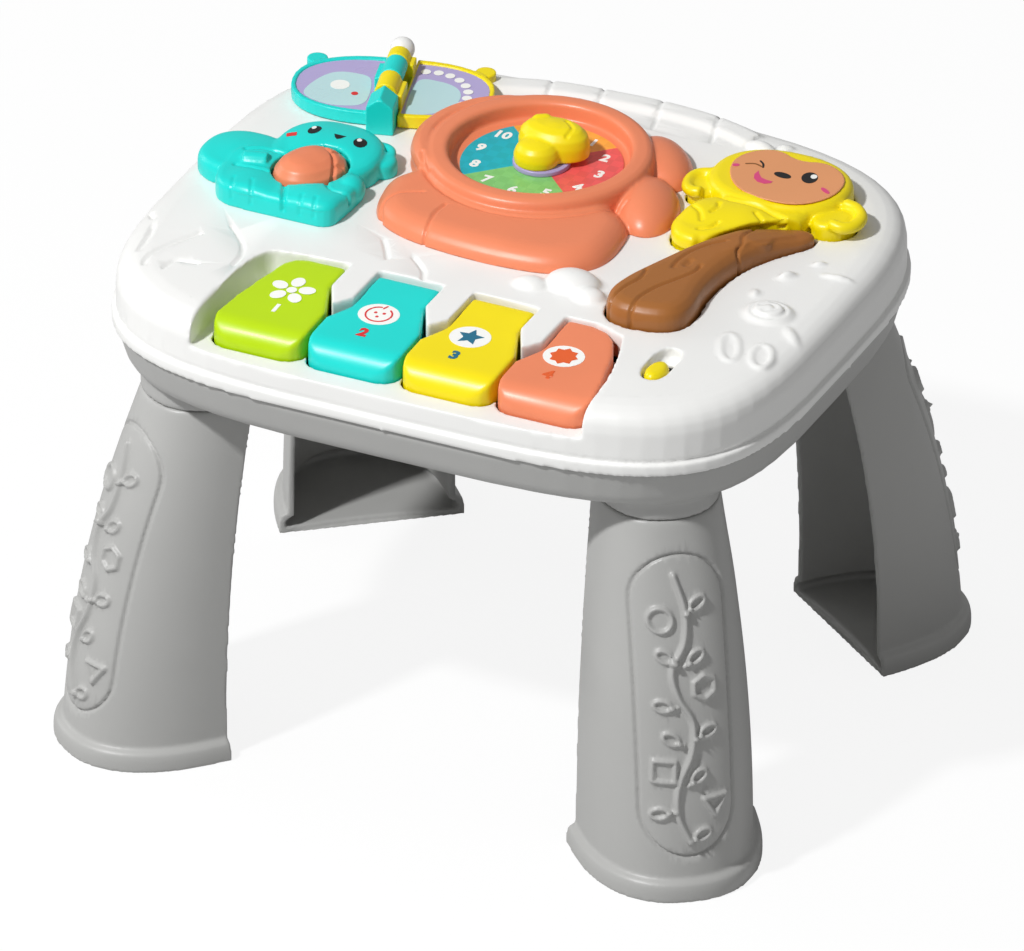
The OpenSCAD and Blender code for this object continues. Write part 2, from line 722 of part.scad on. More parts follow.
module key_pin() {
    color(steel)
        cross_rod(key_edge(0) - 3, key_edge(4) + 3, key_pin_y, key_pin_z, key_pin_d / 2);
}
module key_contact_board() {
    color(green_board)
        box(-key_pitch * 1.9, key_pitch * 1.9, dome_strip_y - 11, dome_strip_y + 11, key_board_z, key_board_z + board_t);
}
module key_dome_strip() {
    color([0.85, 0.85, 0.8])
        difference() {
            union() {
                box(-key_pitch * 1.8, key_pitch * 1.8, dome_strip_y - 8, dome_strip_y + 8, strip_z, strip_z + strip_t);
                for (k = [0 : 3])
                    translate([key_mid(k), dome_strip_y, strip_z + strip_t / 2])
                        cylinder(r1 = dome_r + 1, r2 = dome_r - 1.5, h = dome_rubber_h + strip_t / 2, $fn = round_n);
            }
            for (k = [0 : 3])
                translate([key_mid(k), dome_strip_y, strip_z - 1])
                    cylinder(r1 = dome_r, r2 = dome_r - 2.5, h = dome_rubber_h + 1, $fn = round_n);
        }
}

// ---------- Dial ----------

ring_top_z = top_z + ring_h;
well_z = ring_top_z - well_h;
card_t = 0.6;
base_ring_t = 2.4;
knob_z = well_z + card_t + base_ring_t + 0.2;
spindle_low_z = under_z - 10;
spindle_top_z = knob_z + 6;

function tail_plan() = smooth([[-67, 24], [-68, 2], [-61, -19], [-42, -31], [-10, -34.5], [18, -34], [40, -28],
    [54, -10], [52, 16], [40, 32], [20, 44], [-45, 44]]);
function cheek_plan() = smooth([[-72, 28], [-74, 46], [-66, 64], [-48, 70], [-40, 40], [-50, 20]]);
function upper_lobe_plan() = smooth([[18, 90], [28, 97], [42, 90], [53, 76], [51, 60], [40, 50], [22, 66]]);
function lower_lobe_plan() = smooth([[32, 62], [44, 62], [54, 52], [61, 37], [57, 22], [48, 18], [38, 26], [30, 44]]);

lump_edge = 4;
// Lump of the surround: an upright block with a smaller block on it.
module lump(outline, z1) {
    slab(outline, top_z, z1 - lump_edge);
    slab(grown(outline, -lump_edge / 2), z1 - lump_edge - 1, z1);
}
module dial_surround() {
    color(coral)
        difference() {
            union() {
                difference() {
                    union() {
                        lump(tail_plan(), ring_top_z - 1.3);
                        lump(cheek_plan(), ring_top_z - 2.3);
                        lump(upper_lobe_plan(), ring_top_z - 4.3);
                        lump(lower_lobe_plan(), ring_top_z - 3.3);
                    }
                    rod(dial_x, dial_y, ring_r - 1, top_z - 1, ring_top_z + 10);
                }
                translate([dial_x, dial_y, 0])
                    rotate_extrude($fn = 96)
                        polygon([[spindle_d / 2 + run_gap, top_z], [spindle_d / 2 + 3, top_z],
                            [spindle_d / 2 + 3, well_z - 2], [well_r - 0.5, well_z - 2],
                            [well_r + 2.3, ring_top_z - 2.5], [ring_r - 7, ring_top_z - 2.2],
                            [ring_r - 4.5, ring_top_z - 3.2], [ring_r - figure_wall, top_z], [ring_r, top_z],
                            [ring_r, ring_top_z - 5], [ring_r - 0.8, ring_top_z - 2.2], [ring_r - 3, ring_top_z - 0.5],
                            [ring_r - 6, ring_top_z], [well_r + 2.5, ring_top_z - 0.4],
                            [well_r + 0.2, ring_top_z - 1.8], [well_r - 2.2, well_z],
                            [spindle_d / 2 + run_gap, well_z]]);
                for (p = surround_screw_at)
                    rod(p[0], p[1], boss_r, top_z, ring_top_z - 2.4);
            }
            for (p = surround_screw_at)
                rod(p[0], p[1], pilot, top_z - 1, ring_top_z - 4);
        }
}
module dial_card() {
    color([0.4, 0.75, 0.7])
        tube(dial_x, dial_y, card_r, spindle_d / 2 + 1, well_z, well_z + card_t);
}
module dial_base_ring() {
    color(lilac)
        tube(dial_x, dial_y, base_ring_r, spindle_d / 2 + 1, well_z + card_t, well_z + card_t + base_ring_t);
}
function small_lobe_plan() = shifted(oval(10.5, 10), dial_x - 1, dial_y - 3);
function big_lobe_plan() = shifted(oval(17, 12), dial_x + 2, dial_y + 9);
module dial_knob() {
    color(yellow)
        difference() {
            union() {
                mound(small_lobe_plan(), knob_z, knob_z + 10, 6);
                mound(big_lobe_plan(), knob_z, knob_z + 14, 8);
            }
            rod(dial_x, dial_y, spindle_d / 2 + 0.02, knob_z - 1, spindle_top_z + 0.2);
        }
}
module dial_spindle() {
    color(white)
        difference() {
            rod(dial_x, dial_y, spindle_d / 2, spindle_low_z, spindle_top_z);
            rod(dial_x, dial_y, board_pilot, spindle_low_z - 1, spindle_low_z + 9);
        }
}
module dial_washer() {
    color(steel)
        tube(dial_x, dial_y, 9, spindle_d / 2 + seat_gap, under_z - 1.2, under_z - 0.2);
}
wiper_top_z = under_z - 2.8 - board_t - 0.4;
module dial_wiper() {
    color(dark)
        difference() {
            union() {
                rod(dial_x, dial_y, 15, spindle_low_z, wiper_top_z);
                rod(dial_x, dial_y, 6.2, spindle_low_z, under_z - 1.2);
            }
            rod(dial_x, dial_y, spindle_d / 2 + seat_gap, spindle_low_z - 1, under_z);
        }
}
module dial_spindle_screw() {
    flange_z = spindle_low_z - 1.4;
    color(steel)
        union() {
            rod(dial_x, dial_y, board_screw_d / 2, flange_z, spindle_low_z + 8);
            rod(dial_x, dial_y, 5.5, flange_z, spindle_low_z);
            rod(dial_x, dial_y, board_screw_d, flange_z - 1.5, flange_z);
        }
}
module dial_board() {
    color(green_board)
        difference() {
            box(dial_x - 19, dial_x + 19, dial_y - 19, dial_y + 19, under_z - 2.8 - board_t, under_z - 2.8);
            rod(dial_x, dial_y, 9.8, under_z - 6, under_z);
            for (p = dial_screw_at)
                rod(p[0], p[1], board_screw_d / 2 + 0.2, under_z - 6, under_z);
        }
}

// ---------- Squirrel and acorn ----------

function tail_puff_plan() = shifted(oblong(21, 19, 2.2, 2.4, 40), -135, -1);
function squirrel_head_plan() = shifted(oblong(26, 24, 2.2, 2.2, 44), -101, 15);
function squirrel_feet_plan() = smooth([[-140, -22], [-132, -35], [-116, -36], [-92, -36], [-76, -36], [-74, -22],
    [-74, 2], [-110, 6], [-140, 2]], 2);
function squirrel_ear_plan() = shifted(oval(6, 7, 24), -76, 22);

module squirrel_lumps(d) {
    low = top_z - (d > 0 ? 1 : 0);
    mound(grown(tail_puff_plan(), -d), low, figure_z - 1 - d, figure_edge - d / 2);
    mound(grown(squirrel_head_plan(), -d), low, figure_z - d, figure_edge - d / 2);
    mound(grown(squirrel_feet_plan(), -d), low, figure_z - 0.5 - d, figure_edge - 1 - d / 3);
    if (d == 0)
        mound(squirrel_ear_plan(), low, figure_z - 3, 3);
}
module squirrel_body() {
    color(teal)
        difference() {
            union() {
                difference() {
                    squirrel_lumps(0);
                    squirrel_lumps(figure_wall);
                }
                for (p = squirrel_screw_at)
                    rod(p[0], p[1], boss_r, top_z, figure_z - 2);
                difference() {
                    slab(grown(acorn_plan(), play_gap + 1.6), top_z, figure_z - 3);
                    slab(grown(acorn_plan(), play_gap), top_z - 1, figure_z);
                }
            }
            slab(grown(acorn_plan(), play_gap), top_z - 1, figure_z + 1);
            for (p = squirrel_screw_at)
                rod(p[0], p[1], pilot, top_z - 1, figure_z - 3);
        }
}

switch_body_h = 3.5;
stem_h = 1.2;
stop_gap = 0.3;
plunger_r = 2.4;
spring_r = 6.4;
spring_seat_z = button_board_z + 10;
plunger_z = button_board_z + switch_body_h + stem_h + press_travel + stop_gap;
hook_t = 2;
hook_reach = 3;
hook_gap = 0.1;
// The plate is curved down beside the monkey, so its hooks sit lower.
monkey_hook_drop = 1;

// Plunger and spring seat under a button's roof.
module plunger(at, roof_z, low_z = plunger_z, seat_z = spring_seat_z) {
    rod(at[0], at[1], plunger_r, low_z, roof_z);
    tube(at[0], at[1], spring_r + 1.6, spring_r - 1.6, seat_z, roof_z);
}
// Hook that holds a button under the plate: at is on the outline, dir points out, drop is its play.
module hook(at, dir, drop = hook_gap) {
    a = atan2(dir[1], dir[0]);
    translate([at[0], at[1], under_z - hook_t - drop])
        rotate([0, 0, a])
            translate([-figure_wall, -3, 0])
                cube([figure_wall + hook_reach, 6, hook_t]);
}

acorn_z = figure_z + 4;
module acorn_button() {
    color(coral)
        union() {
            difference() {
                mound(acorn_plan(), skirt_z - hook_t, acorn_z, 8);
                mound(grown(acorn_plan(), -figure_wall), skirt_z - hook_t - 1, acorn_z - figure_wall, 6.5);
            }
            plunger(acorn_at, acorn_z - figure_wall / 2);
            hook(acorn_at + [-acorn_rx + 1, 0], [-1, 0]);
            hook(acorn_at + [acorn_rx - 1, 0], [1, 0]);
        }
}
module acorn_spring() {
    color(steel)
        spring(acorn_at[0], acorn_at[1], spring_r, 0.4, 4, button_board_z, spring_seat_z);
}
module pcb(x0, x1, y0, y1, z, holes) {
    difference() {
        box(x0, x1, y0, y1, z - board_t, z);
        for (p = holes)
            rod(p[0], p[1], board_screw_d / 2 + 0.2, z - board_t - 1, z + 1);
    }
}
module acorn_board() {
    color(green_board)
        pcb(-129, -74, -27, 25, button_board_z, acorn_screw_at);
}

// ---------- Monkey and log ----------

monkey_plunger = [98, 74];
log_plunger = [89, -4];
log_spring_at = [[88.5, -28], [106, 26.5]];

module monkey_lumps(d) {
    low = skirt_z - hook_t - (d > 0 ? 1 : 0);
    mound(grown(head_plan(), -d), low, figure_z - d, figure_edge - d / 2);
    mound(grown(paw_plan(), -d), low, figure_z - 2 - d, figure_edge - d / 2);
    mound(grown(left_ear_plan(), -d), low, figure_z - 4 - d, 3 - d / 3);
    mound(grown(right_ear_plan(), -d), low, figure_z - 4 - d, 3 - d / 3);
}
module monkey_button() {
    color(yellow)
        difference() {
            union() {
                difference() {
                    monkey_lumps(0);
                    monkey_lumps(figure_wall);
                }
                plunger(monkey_plunger, figure_z - figure_wall / 2);
                hook([95, 103.5], [0, 1], monkey_hook_drop);
                hook([128, 80], [1, 0], monkey_hook_drop);
                hook([62, 88], [-1, 0.35], monkey_hook_drop);
                hook([66, 24], [-1, -0.4], monkey_hook_drop);
            }
            slab(grown(log_plan(), 1.2), floor_z, figure_z + 5);
        }
}
function face_plan() = smooth([[69, 78], [72, 92], [84, 100], [97, 93], [110, 98], [124, 88], [125, 70], [114, 56],
    [96, 54], [79, 60]]);
face_t = 0.8;
module monkey_face() {
    color(tan_skin)
        slab(face_plan(), figure_z, figure_z + face_t);
}
module monkey_spring() {
    color(steel)
        spring(monkey_plunger[0], monkey_plunger[1], spring_r, 0.4, 4, button_board_z, spring_seat_z);
}
// The log passes over the keys, so nothing of it reaches below this height.
log_low_z = key_pin_z + key_boss_r + press_travel + stop_gap;
module log_button() {
    color(brown)
        union() {
            difference() {
                mound(log_plan(), log_low_z - 1, figure_z + 1, 7);
                slab(grown(log_plan(), -figure_wall - 0.6), log_low_z - 2, figure_z + 0.8 - figure_wall);
                box(50, 140, -70, 60, log_low_z - 2, log_low_z);
            }
            rod(log_plunger[0], log_plunger[1], plunger_r, log_low_z, figure_z);
            for (p = log_spring_at)
                plunger(p, figure_z, log_low_z, log_low_z);
            hook([113.4, 25], [1, -0.5]);
            hook([103.8, -20], [1, 0]);
            hook([74.6, -10], [-1, 0.3]);
        }
}
module log_springs() {
    color(steel)
        for (p = log_spring_at)
            spring(p[0], p[1], spring_r, 0.4, 5, button_board_z, log_low_z);
}
module button_board() {
    color(green_board)
        pcb(51, 137.8, -35, 92, button_board_z, button_screw_at);
}
module button_switches() {
    for (p = [acorn_at, monkey_plunger, log_plunger]) {
        foot_z = p == log_plunger ? log_low_z : plunger_z;
        color(dark)
            box(p[0] - 3, p[0] + 3, p[1] - 3, p[1] + 3, button_board_z, button_board_z + switch_body_h);
        color(dark)
            rod(p[0], p[1], 1.7, button_board_z + switch_body_h - 0.5, foot_z - press_travel - stop_gap);
    }
}

// ---------- Flip book ----------

post_half = 6.3;
post_len = 14;
module book_front_post() {
    color(teal)
        on_book()
            difference() {
                translate([0, -0.4, 0])
                    rotate([90, 0, 0])
                        linear_extrude(post_len)
                            polygon([[-post_half, -book_pin_h], [post_half, -book_pin_h], [post_half, 0.6],
                                [0, knuckle_d / 2 + 0.4], [-post_half, 0.6]]);
                translate([-post_half - 1, -post_len - 3, knuckle_d / 2 - 2.5])
                    rotate([32, 0, 0])
                        cube([2 * post_half + 2, 20, 14]);
                along_pin(pin_front_s - seat_gap, 1, book_pin_d / 2 + seat_gap);
                translate([0, post_screw_s, -book_pin_h - 1])
                    cylinder(r = pilot, h = 9, $fn = round_n);
            }
}
module book_pin() {
    color(steel)
        on_book()
            along_pin(pin_front_s, pin_back_s, book_pin_d / 2);
}

page_in = 6.8;
page_mid_s = book_len / 2 + 1;
page_top = -book_pin_h + page_gap + page_t;
page_rim = 3;
page_n = 20;
page_square = 2.3;
tab_turn = 44;
tab_out = 3;
tab_r = 4.8;
knuckle_gap = 0.4;
// Half-round page to the right of the pin (side 1) or to its left (side -1).
function page_plan(side, d) = let (a = page_reach - page_in - d, b = page_len / 2 - d)
    [for (i = [0 : page_n]) let (t = side > 0 ? -90 + 180 * i / page_n : 90 + 180 * i / page_n)
        [side * (page_in + (d > 0 ? 1 : 0)) + a * power(cos(t), page_square), page_mid_s + b * power(sin(t), page_square)]];

module page(side, spans) {
    on_book()
        difference() {
            union() {
                slab(page_plan(side, 0), page_top - page_t, page_top);
                rod(side * (page_in + (page_reach - page_in + tab_out) * power(cos(tab_turn), page_square)),
                    page_mid_s + (page_len / 2 + tab_out) * power(sin(tab_turn), page_square),
                    tab_r, page_top - page_t, page_top - 0.4);
                for (s = spans) {
                    along_pin(s[0], s[1], knuckle_d / 2);
                    translate([side > 0 ? 0 : -page_in - 1, s[0], page_top - page_t])
                        cube([page_in + 1, s[1] - s[0], -page_top + page_t]);
                }
            }
            slab(page_plan(side, page_rim), page_top - 1.2, page_top + 1);
            for (s = spans)
                along_pin(s[0] - 1, s[1] + 1, book_pin_d / 2 + run_gap);
        }
}
right_spans = [[knuckle_gap, 14.8], [30.2, book_len]];
left_spans = [[15.2, 29.8]];
module right_page() {
    color(yellow)
        page(1, right_spans);
}
module left_page() {
    color(teal)
        page(-1, left_spans);
}
module page_card(side) {
    color(lilac)
        on_book()
            slab(page_plan(side, page_rim + 0.3), page_top - 1.2, page_top - 0.6);
}
module right_page_card() {
    page_card(1);
}
module left_page_card() {
    page_card(-1);
}

// ---------- Power switch ----------

module switch_knob() {
    y = slot_at[1] - switch_travel / 2;
    color(yellow)
        union() {
            mound(shifted(oval(switch_knob_rx, switch_knob_ry, 32), slot_at[0], y), slot_floor_z + 0.3, top_z + 0.6, 3);
            box(slot_at[0] - stem_rx, slot_at[0] + stem_rx, y - stem_ry, y + stem_ry,
                slot_floor_z - top_wall - 5, slot_floor_z + 1);
        }
}
module switch_case() {
    top = slot_floor_z - top_wall;
    travel = switch_travel / 2 + stem_ry + 0.5;
    color(dark)
        difference() {
            box(slot_at[0] - 5.5, slot_at[0] + 5.5, slot_at[1] - travel - 2, slot_at[1] + travel + 2, top - 9, top);
            box(slot_at[0] - stem_rx - 0.5, slot_at[0] + stem_rx + 0.5, slot_at[1] - travel, slot_at[1] + travel,
                top - 6, top + 1);
        }
}

// ---------- Inside the housing ----------

module circuit_board() {
    color(green_board) {
        difference() {
            box(main_board[0], main_board[1], main_board[2], main_board[3], main_board_z, main_board_z + board_t);
            for (p = main_screw_at)
                rod(p[0], p[1], board_screw_d / 2 + 0.2, main_board_z - 1, main_board_z + board_t + 1);
        }
        box(-12, 6, 66, 84, main_board_z + board_t - 0.2, main_board_z + board_t + 2);
        rod(24, 72, 3, main_board_z + board_t - 0.2, main_board_z + board_t + 8);
        rod(24, 84, 3, main_board_z + board_t - 0.2, main_board_z + board_t + 8);
        box(-38, -26, 50, 56, main_board_z + board_t - 0.2, main_board_z + board_t + 5);
        box(26, 38, 50, 56, main_board_z + board_t - 0.2, main_board_z + board_t + 5);
    }
}
module speaker() {
    r = speaker_d / 2;
    color(dark)
        translate([speaker_at[0], speaker_at[1], inner_floor_z])
            rotate_extrude($fn = 72)
                polygon([[0, 4], [7, 3.2], [r - 4, 0.8], [r, 0], [r, 1.6], [r - 3, 2.4], [11, 7], [11, speaker_h],
                    [0, speaker_h]]);
}
module speaker_clamp() {
    z = inner_floor_z + 4;
    color(steel)
        difference() {
            union() {
                tube(speaker_at[0], speaker_at[1], speaker_d / 2 + 1.5, speaker_d / 2 - 4.4, z, z + 1.2);
                for (p = speaker_screw_at)
                    box(p[0] - 4 - (p[0] > 0 ? 4 : 0), p[0] + 4 + (p[0] < 0 ? 4 : 0), p[1] - 4, p[1] + 4, z, z + 1.2);
            }
            rod(speaker_at[0], speaker_at[1], speaker_d / 2 - 4.4, z - 1, z + 3);
            for (p = speaker_screw_at)
                rod(p[0], p[1], board_screw_d / 2 + 0.2, z - 1, z + 3);
        }
}
module battery_box() {
    color(grey)
        difference() {
            box(-box_half_x, box_half_x, -box_half_y, box_half_y, inner_floor_z, box_top_z);
            box(-box_half_x + box_wall, box_half_x - box_wall, -box_half_y + box_wall, box_half_y - box_wall,
                inner_floor_z - 1, box_top_z - box_wall);
        }
}
module battery_cells() {
    for (i = [-1 : 1])
        color([0.3, 0.35, 0.4])
            translate([0, i * cell_pitch, cell_z])
                rotate([0, i == 0 ? -90 : 90, 0])
                    translate([0, 0, -cell_l / 2]) {
                        cylinder(d = cell_d, h = cell_l - 1.2, $fn = round_n);
                        cylinder(d = 5.5, h = cell_l, $fn = round_n);
                    }
}
module battery_contacts() {
    x = cell_l / 2 + 0.05;
    color(steel)
        for (side = [-1, 1], i = [-1 : 1])
            box(side > 0 ? x : -x - 0.6, side > 0 ? x + 0.6 : -x, i * cell_pitch - 5, i * cell_pitch + 5,
                cell_z - 5, box_top_z - box_wall);
}
module battery_door() {
    color(grey)
        difference() {
            union() {
                box(-door_half_x, door_half_x, -box_half_y + box_wall + 0.4, door_half_y, floor_z, floor_z + 1.6);
                box(-door_half_x, door_half_x, -box_half_y + box_wall + 0.4, box_half_y - box_wall - 0.4,
                    floor_z, inner_floor_z);
            }
            rod(0, door_screw_y, pass_r, floor_z - 1, inner_floor_z + 1);
        }
}
module door_screw() {
    color(steel)
        screw(0, door_screw_y, floor_z - screw_head_h(), inner_floor_z + 5);
}

// ---------- Screws and leads ----------

module housing_screws() {
    color(steel)
        for (p = housing_screw_at)
            screw(p[0], p[1], floor_z + 8 - screw_head_h(), boss_joint_z + 12);
}
module board_screws() {
    d = board_screw_d;
    color(steel) {
        for (p = frame_screw_at)
            screw(p[0], p[1], key_board_z - frame_t - screw_head_h(d), key_board_z + 7, d);
        for (p = concat(button_screw_at, acorn_screw_at))
            screw(p[0], p[1], button_board_z - board_t - screw_head_h(d), button_board_z + 7, d);
        for (p = dial_screw_at)
            screw(p[0], p[1], under_z - 2.8 - board_t - screw_head_h(d), under_z, d);
    }
    color(steel)
        mirror([0, 0, 1]) {
            for (p = main_screw_at)
                screw(p[0], p[1], -main_board_z - board_t - screw_head_h(d), -main_board_z + 6, d);
            for (p = speaker_screw_at)
                screw(p[0], p[1], -inner_floor_z - 5.2 - screw_head_h(d), -inner_floor_z - 0.5, d);
        }
}
module trim_screws() {
    color(steel) {
        for (p = surround_screw_at)
            screw(p[0], p[1], under_z - screw_head_h(), top_z + 8);
        for (p = squirrel_screw_at)
            screw(p[0], p[1], under_z - screw_head_h(), top_z + 6);
        on_book()
            screw(0, post_screw_s, -book_pin_h - top_wall - screw_head_h(), -book_pin_h + 7);
    }
}
lead_r = 0.9;
module speaker_lead() {
    z = main_board_z + board_t;
    color(dark)
        lead([[-12, -84, inner_floor_z + 12], [-16, -79, inner_floor_z + 12], [-24, -64, inner_floor_z + 8],
            [-34, -46, inner_floor_z + 2], [-37, -20, inner_floor_z + 2], [-37, 10, inner_floor_z + 2],
            [-36, 30, inner_floor_z + 6], [-34, 40, z + 1], [-33, 46, z + 2.5], [-32.5, 49.8, z + 2.5]], lead_r);
}
module battery_lead() {
    z = main_board_z + board_t;
    color([0.7, 0.1, 0.1])
        lead([[box_half_x + 0.5, 9, cell_z], [box_half_x + 4, 10, cell_z], [box_half_x + 5, 20, cell_z],
            [34, 32, cell_z + 1], [33, 42, z + 2.5], [32.5, 49.8, z + 2.5]], lead_r);
}

top_shell();
base_housing();
front_left_leg();
front_right_leg();
back_right_leg();
back_left_leg();
lime_key();
teal_key();
yellow_key();
coral_key();
key_frame();
key_pin();
key_contact_board();
key_dome_strip();
dial_surround();
dial_card();
dial_base_ring();
dial_knob();
dial_spindle();
dial_washer();
dial_wiper();
dial_spindle_screw();
dial_board();
squirrel_body();
acorn_button();
acorn_spring();
acorn_board();
monkey_button();
monkey_face();
monkey_spring();
log_button();
log_springs();
button_board();
button_switches();
book_front_post();
book_pin();
left_page();
left_page_card();
right_page();
right_page_card();
switch_knob();
switch_case();
circuit_board();
speaker();
speaker_clamp();
battery_box();
battery_cells();
battery_contacts();
battery_door();
door_screw();
housing_screws();
board_screws();
trim_screws();
speaker_lead();
battery_lead();
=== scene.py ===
# %% [markdown]
# # A toddler's musical table
# The real table is a hard toy: a white top with soft relief, four hollow grey legs, piano keys, a number
# dial, three push figures and a small flip book. All of it is moulded plastic with rounded edges, so most
# pieces are made in one way: the exact solid is copied, lumps are added, the whole is remeshed and smoothed
# like clay, and fine lines are pressed in last. Lengths are in millimetres here, and `MM` turns them into
# Blender's metres.

# %% Frame
import json
import math
import bpy
import numpy as np
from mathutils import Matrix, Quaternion, Vector
from mathutils.bvhtree import BVHTree


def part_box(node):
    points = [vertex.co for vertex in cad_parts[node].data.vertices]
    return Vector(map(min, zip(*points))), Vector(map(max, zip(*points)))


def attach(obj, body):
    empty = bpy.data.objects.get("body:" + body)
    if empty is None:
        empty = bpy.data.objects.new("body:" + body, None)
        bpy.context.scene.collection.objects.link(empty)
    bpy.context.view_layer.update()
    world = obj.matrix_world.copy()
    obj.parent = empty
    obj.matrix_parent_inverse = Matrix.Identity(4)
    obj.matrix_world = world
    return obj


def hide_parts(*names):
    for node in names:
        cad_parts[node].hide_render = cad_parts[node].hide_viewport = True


MM = 0.001
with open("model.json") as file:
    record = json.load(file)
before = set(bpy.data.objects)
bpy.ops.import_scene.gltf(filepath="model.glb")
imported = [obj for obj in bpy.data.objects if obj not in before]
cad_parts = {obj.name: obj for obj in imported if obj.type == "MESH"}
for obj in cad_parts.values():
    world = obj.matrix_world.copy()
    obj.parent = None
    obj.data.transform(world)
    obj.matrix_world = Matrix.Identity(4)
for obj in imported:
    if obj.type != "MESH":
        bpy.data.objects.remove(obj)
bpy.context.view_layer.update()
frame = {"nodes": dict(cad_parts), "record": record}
nodes = frame["nodes"]

# %% [markdown]
# ## Camera
# The camera looks down on the front right corner. A long lens far away keeps the sides of the table nearly
# parallel, so that its proportions can be judged.

# %% Camera
aim = Vector((9.74, -24.37, 120)) * MM
azimuth, elevation, roll = (math.radians(angle) for angle in (24.99, 29.92, 0.2))
distance = 9.009
sensor_width, focal_length = 36, 703.1
far_clip = 40

away = Vector((math.sin(azimuth) * math.cos(elevation), -math.cos(azimuth) * math.cos(elevation),
               math.sin(elevation)))
bpy.ops.object.camera_add(location=aim + away * distance)
camera = bpy.context.object
camera.rotation_euler = (away.to_track_quat("Z", "Y") @ Quaternion((0, 0, 1), roll)).to_euler()
camera.data.sensor_width = sensor_width
camera.data.lens = focal_length
camera.data.clip_end = far_clip
bpy.context.scene.camera = camera
print("the camera stands", round((aim - camera.location).length, 3), "m away")

# %% [markdown]
# ## Lamps
# The main lamp hangs high at the front left, and it is small enough for the figures to throw clear shadows
# to the right. A wide and weak lamp at the left side brightens the walls that face it.

# %% Lamps
def lamp(name, place, size, power):
    """An area lamp that looks at the table. Place and size are in metres, power in watts."""
    bpy.ops.object.light_add(type="AREA", location=place)
    light = bpy.context.object
    light.name = name
    light.data.size = size
    light.data.energy = power
    light.rotation_euler = (Vector(place) - aim).to_track_quat("Z", "Y").to_euler()


lamp("window", (-0.95, -1.9, 2.75), size=0.22, power=96)
lamp("side", (-3.0, 0.2, 1.2), size=1.5, power=14)
print("two lamps are in place")

# %% [markdown]
# ## Sky
# A finish or a sky is a small network of nodes. Two helpers keep these networks short: one adds a node and
# sets its named inputs, and the other joins outputs to inputs. This sky lights the toy weakly and evenly,
# and the camera sees it as plain white.

# %% Sky
def node(tree, kind, **values):
    made = tree.nodes.new("ShaderNode" + kind)
    for key, value in values.items():
        made.inputs[key].default_value = value
    return made


def link(tree, *pairs):
    for start, end in pairs:
        tree.links.new(start, end)


white = (1, 1, 1, 1)
sky_light, sky_seen = 0.3, 1.0

scene = bpy.context.scene
scene.view_settings.view_transform = "Standard"
world = bpy.data.worlds.new("studio")
scene.world = world
world.use_nodes = True
sky = world.node_tree
background = sky.nodes["Background"]
background.inputs["Color"].default_value = white
ray = node(sky, "LightPath")
seen = node(sky, "Math")
seen.operation = "MAXIMUM"
level = node(sky, "MapRange", **{"To Min": sky_light, "To Max": sky_seen})
link(sky, (ray.outputs["Is Camera Ray"], seen.inputs[0]),
     (ray.outputs["Is Transmission Ray"], seen.inputs[1]),
     (seen.outputs[0], level.inputs["Value"]), (level.outputs[0], background.inputs["Strength"]))
print("the sky has", len(sky.nodes), "nodes")

# %% [markdown]
# ## Floor
# The floor is pale paper that glows for the camera alone, so it turns white and still takes a faint shadow.
# An operator acts on all that is selected, so `clear` deselects everything before a new piece is added.

# %% Floor
def clear():
    if bpy.context.object and bpy.context.object.mode != "OBJECT":
        bpy.ops.object.mode_set(mode="OBJECT")
    bpy.ops.object.select_all(action="DESELECT")


floor_size = 12
paper_grey, paper_roughness = 0.6, 0.9
glow_strength, glow_share = 1.1, 0.8

clear()
bpy.ops.mesh.primitive_plane_add(size=floor_size)
floor = bpy.context.object
floor.name = "floor"
paper = bpy.data.materials.new("paper")
paper.use_nodes = True
tree = paper.node_tree
matt = tree.nodes["Principled BSDF"]
matt.inputs["Base Color"].default_value = (paper_grey, paper_grey, paper_grey, 1)
matt.inputs["Roughness"].default_value = paper_roughness
glow = node(tree, "Emission", Strength=glow_strength)
mixed = node(tree, "MixShader")
sight = node(tree, "LightPath")
share = node(tree, "Math")
share.operation = "MULTIPLY"
share.inputs[1].default_value = glow_share
link(tree, (sight.outputs["Is Camera Ray"], share.inputs[0]), (share.outputs[0], mixed.inputs[0]),
     (matt.outputs[0], mixed.inputs[1]), (glow.outputs[0], mixed.inputs[2]),
     (mixed.outputs[0], tree.nodes["Material Output"].inputs["Surface"]))
floor.data.materials.append(paper)
print("the floor is", floor_size, "m wide")

# %% [markdown]
# ## Plastics
# The colour of a moulded part is in the plastic, so it hardly varies. What the eye reads is the skin: a fine
# texture from the mould, slow clouds in the gloss, and a faint change of shade where the melt flowed.
# One recipe with a few numbers serves every plastic. Its patterns read Object coordinates, so they stay in
# place when a piece moves.

# %% Recipe for a plastic
def tint(code):
    """Turns a colour code into the linear colour that a shader takes."""
    parts = [int(code[i:i + 2], 16) / 255 for i in (0, 2, 4)]
    return [c / 12.92 if c <= 0.04045 else ((c + 0.055) / 1.055) ** 2.4 for c in parts] + [1]


clouds_per_metre = 22.0
cloud_low, cloud_high = 0.3, 0.7
duller, shinier = 0.07, 0.05
skin_height = 0.0004


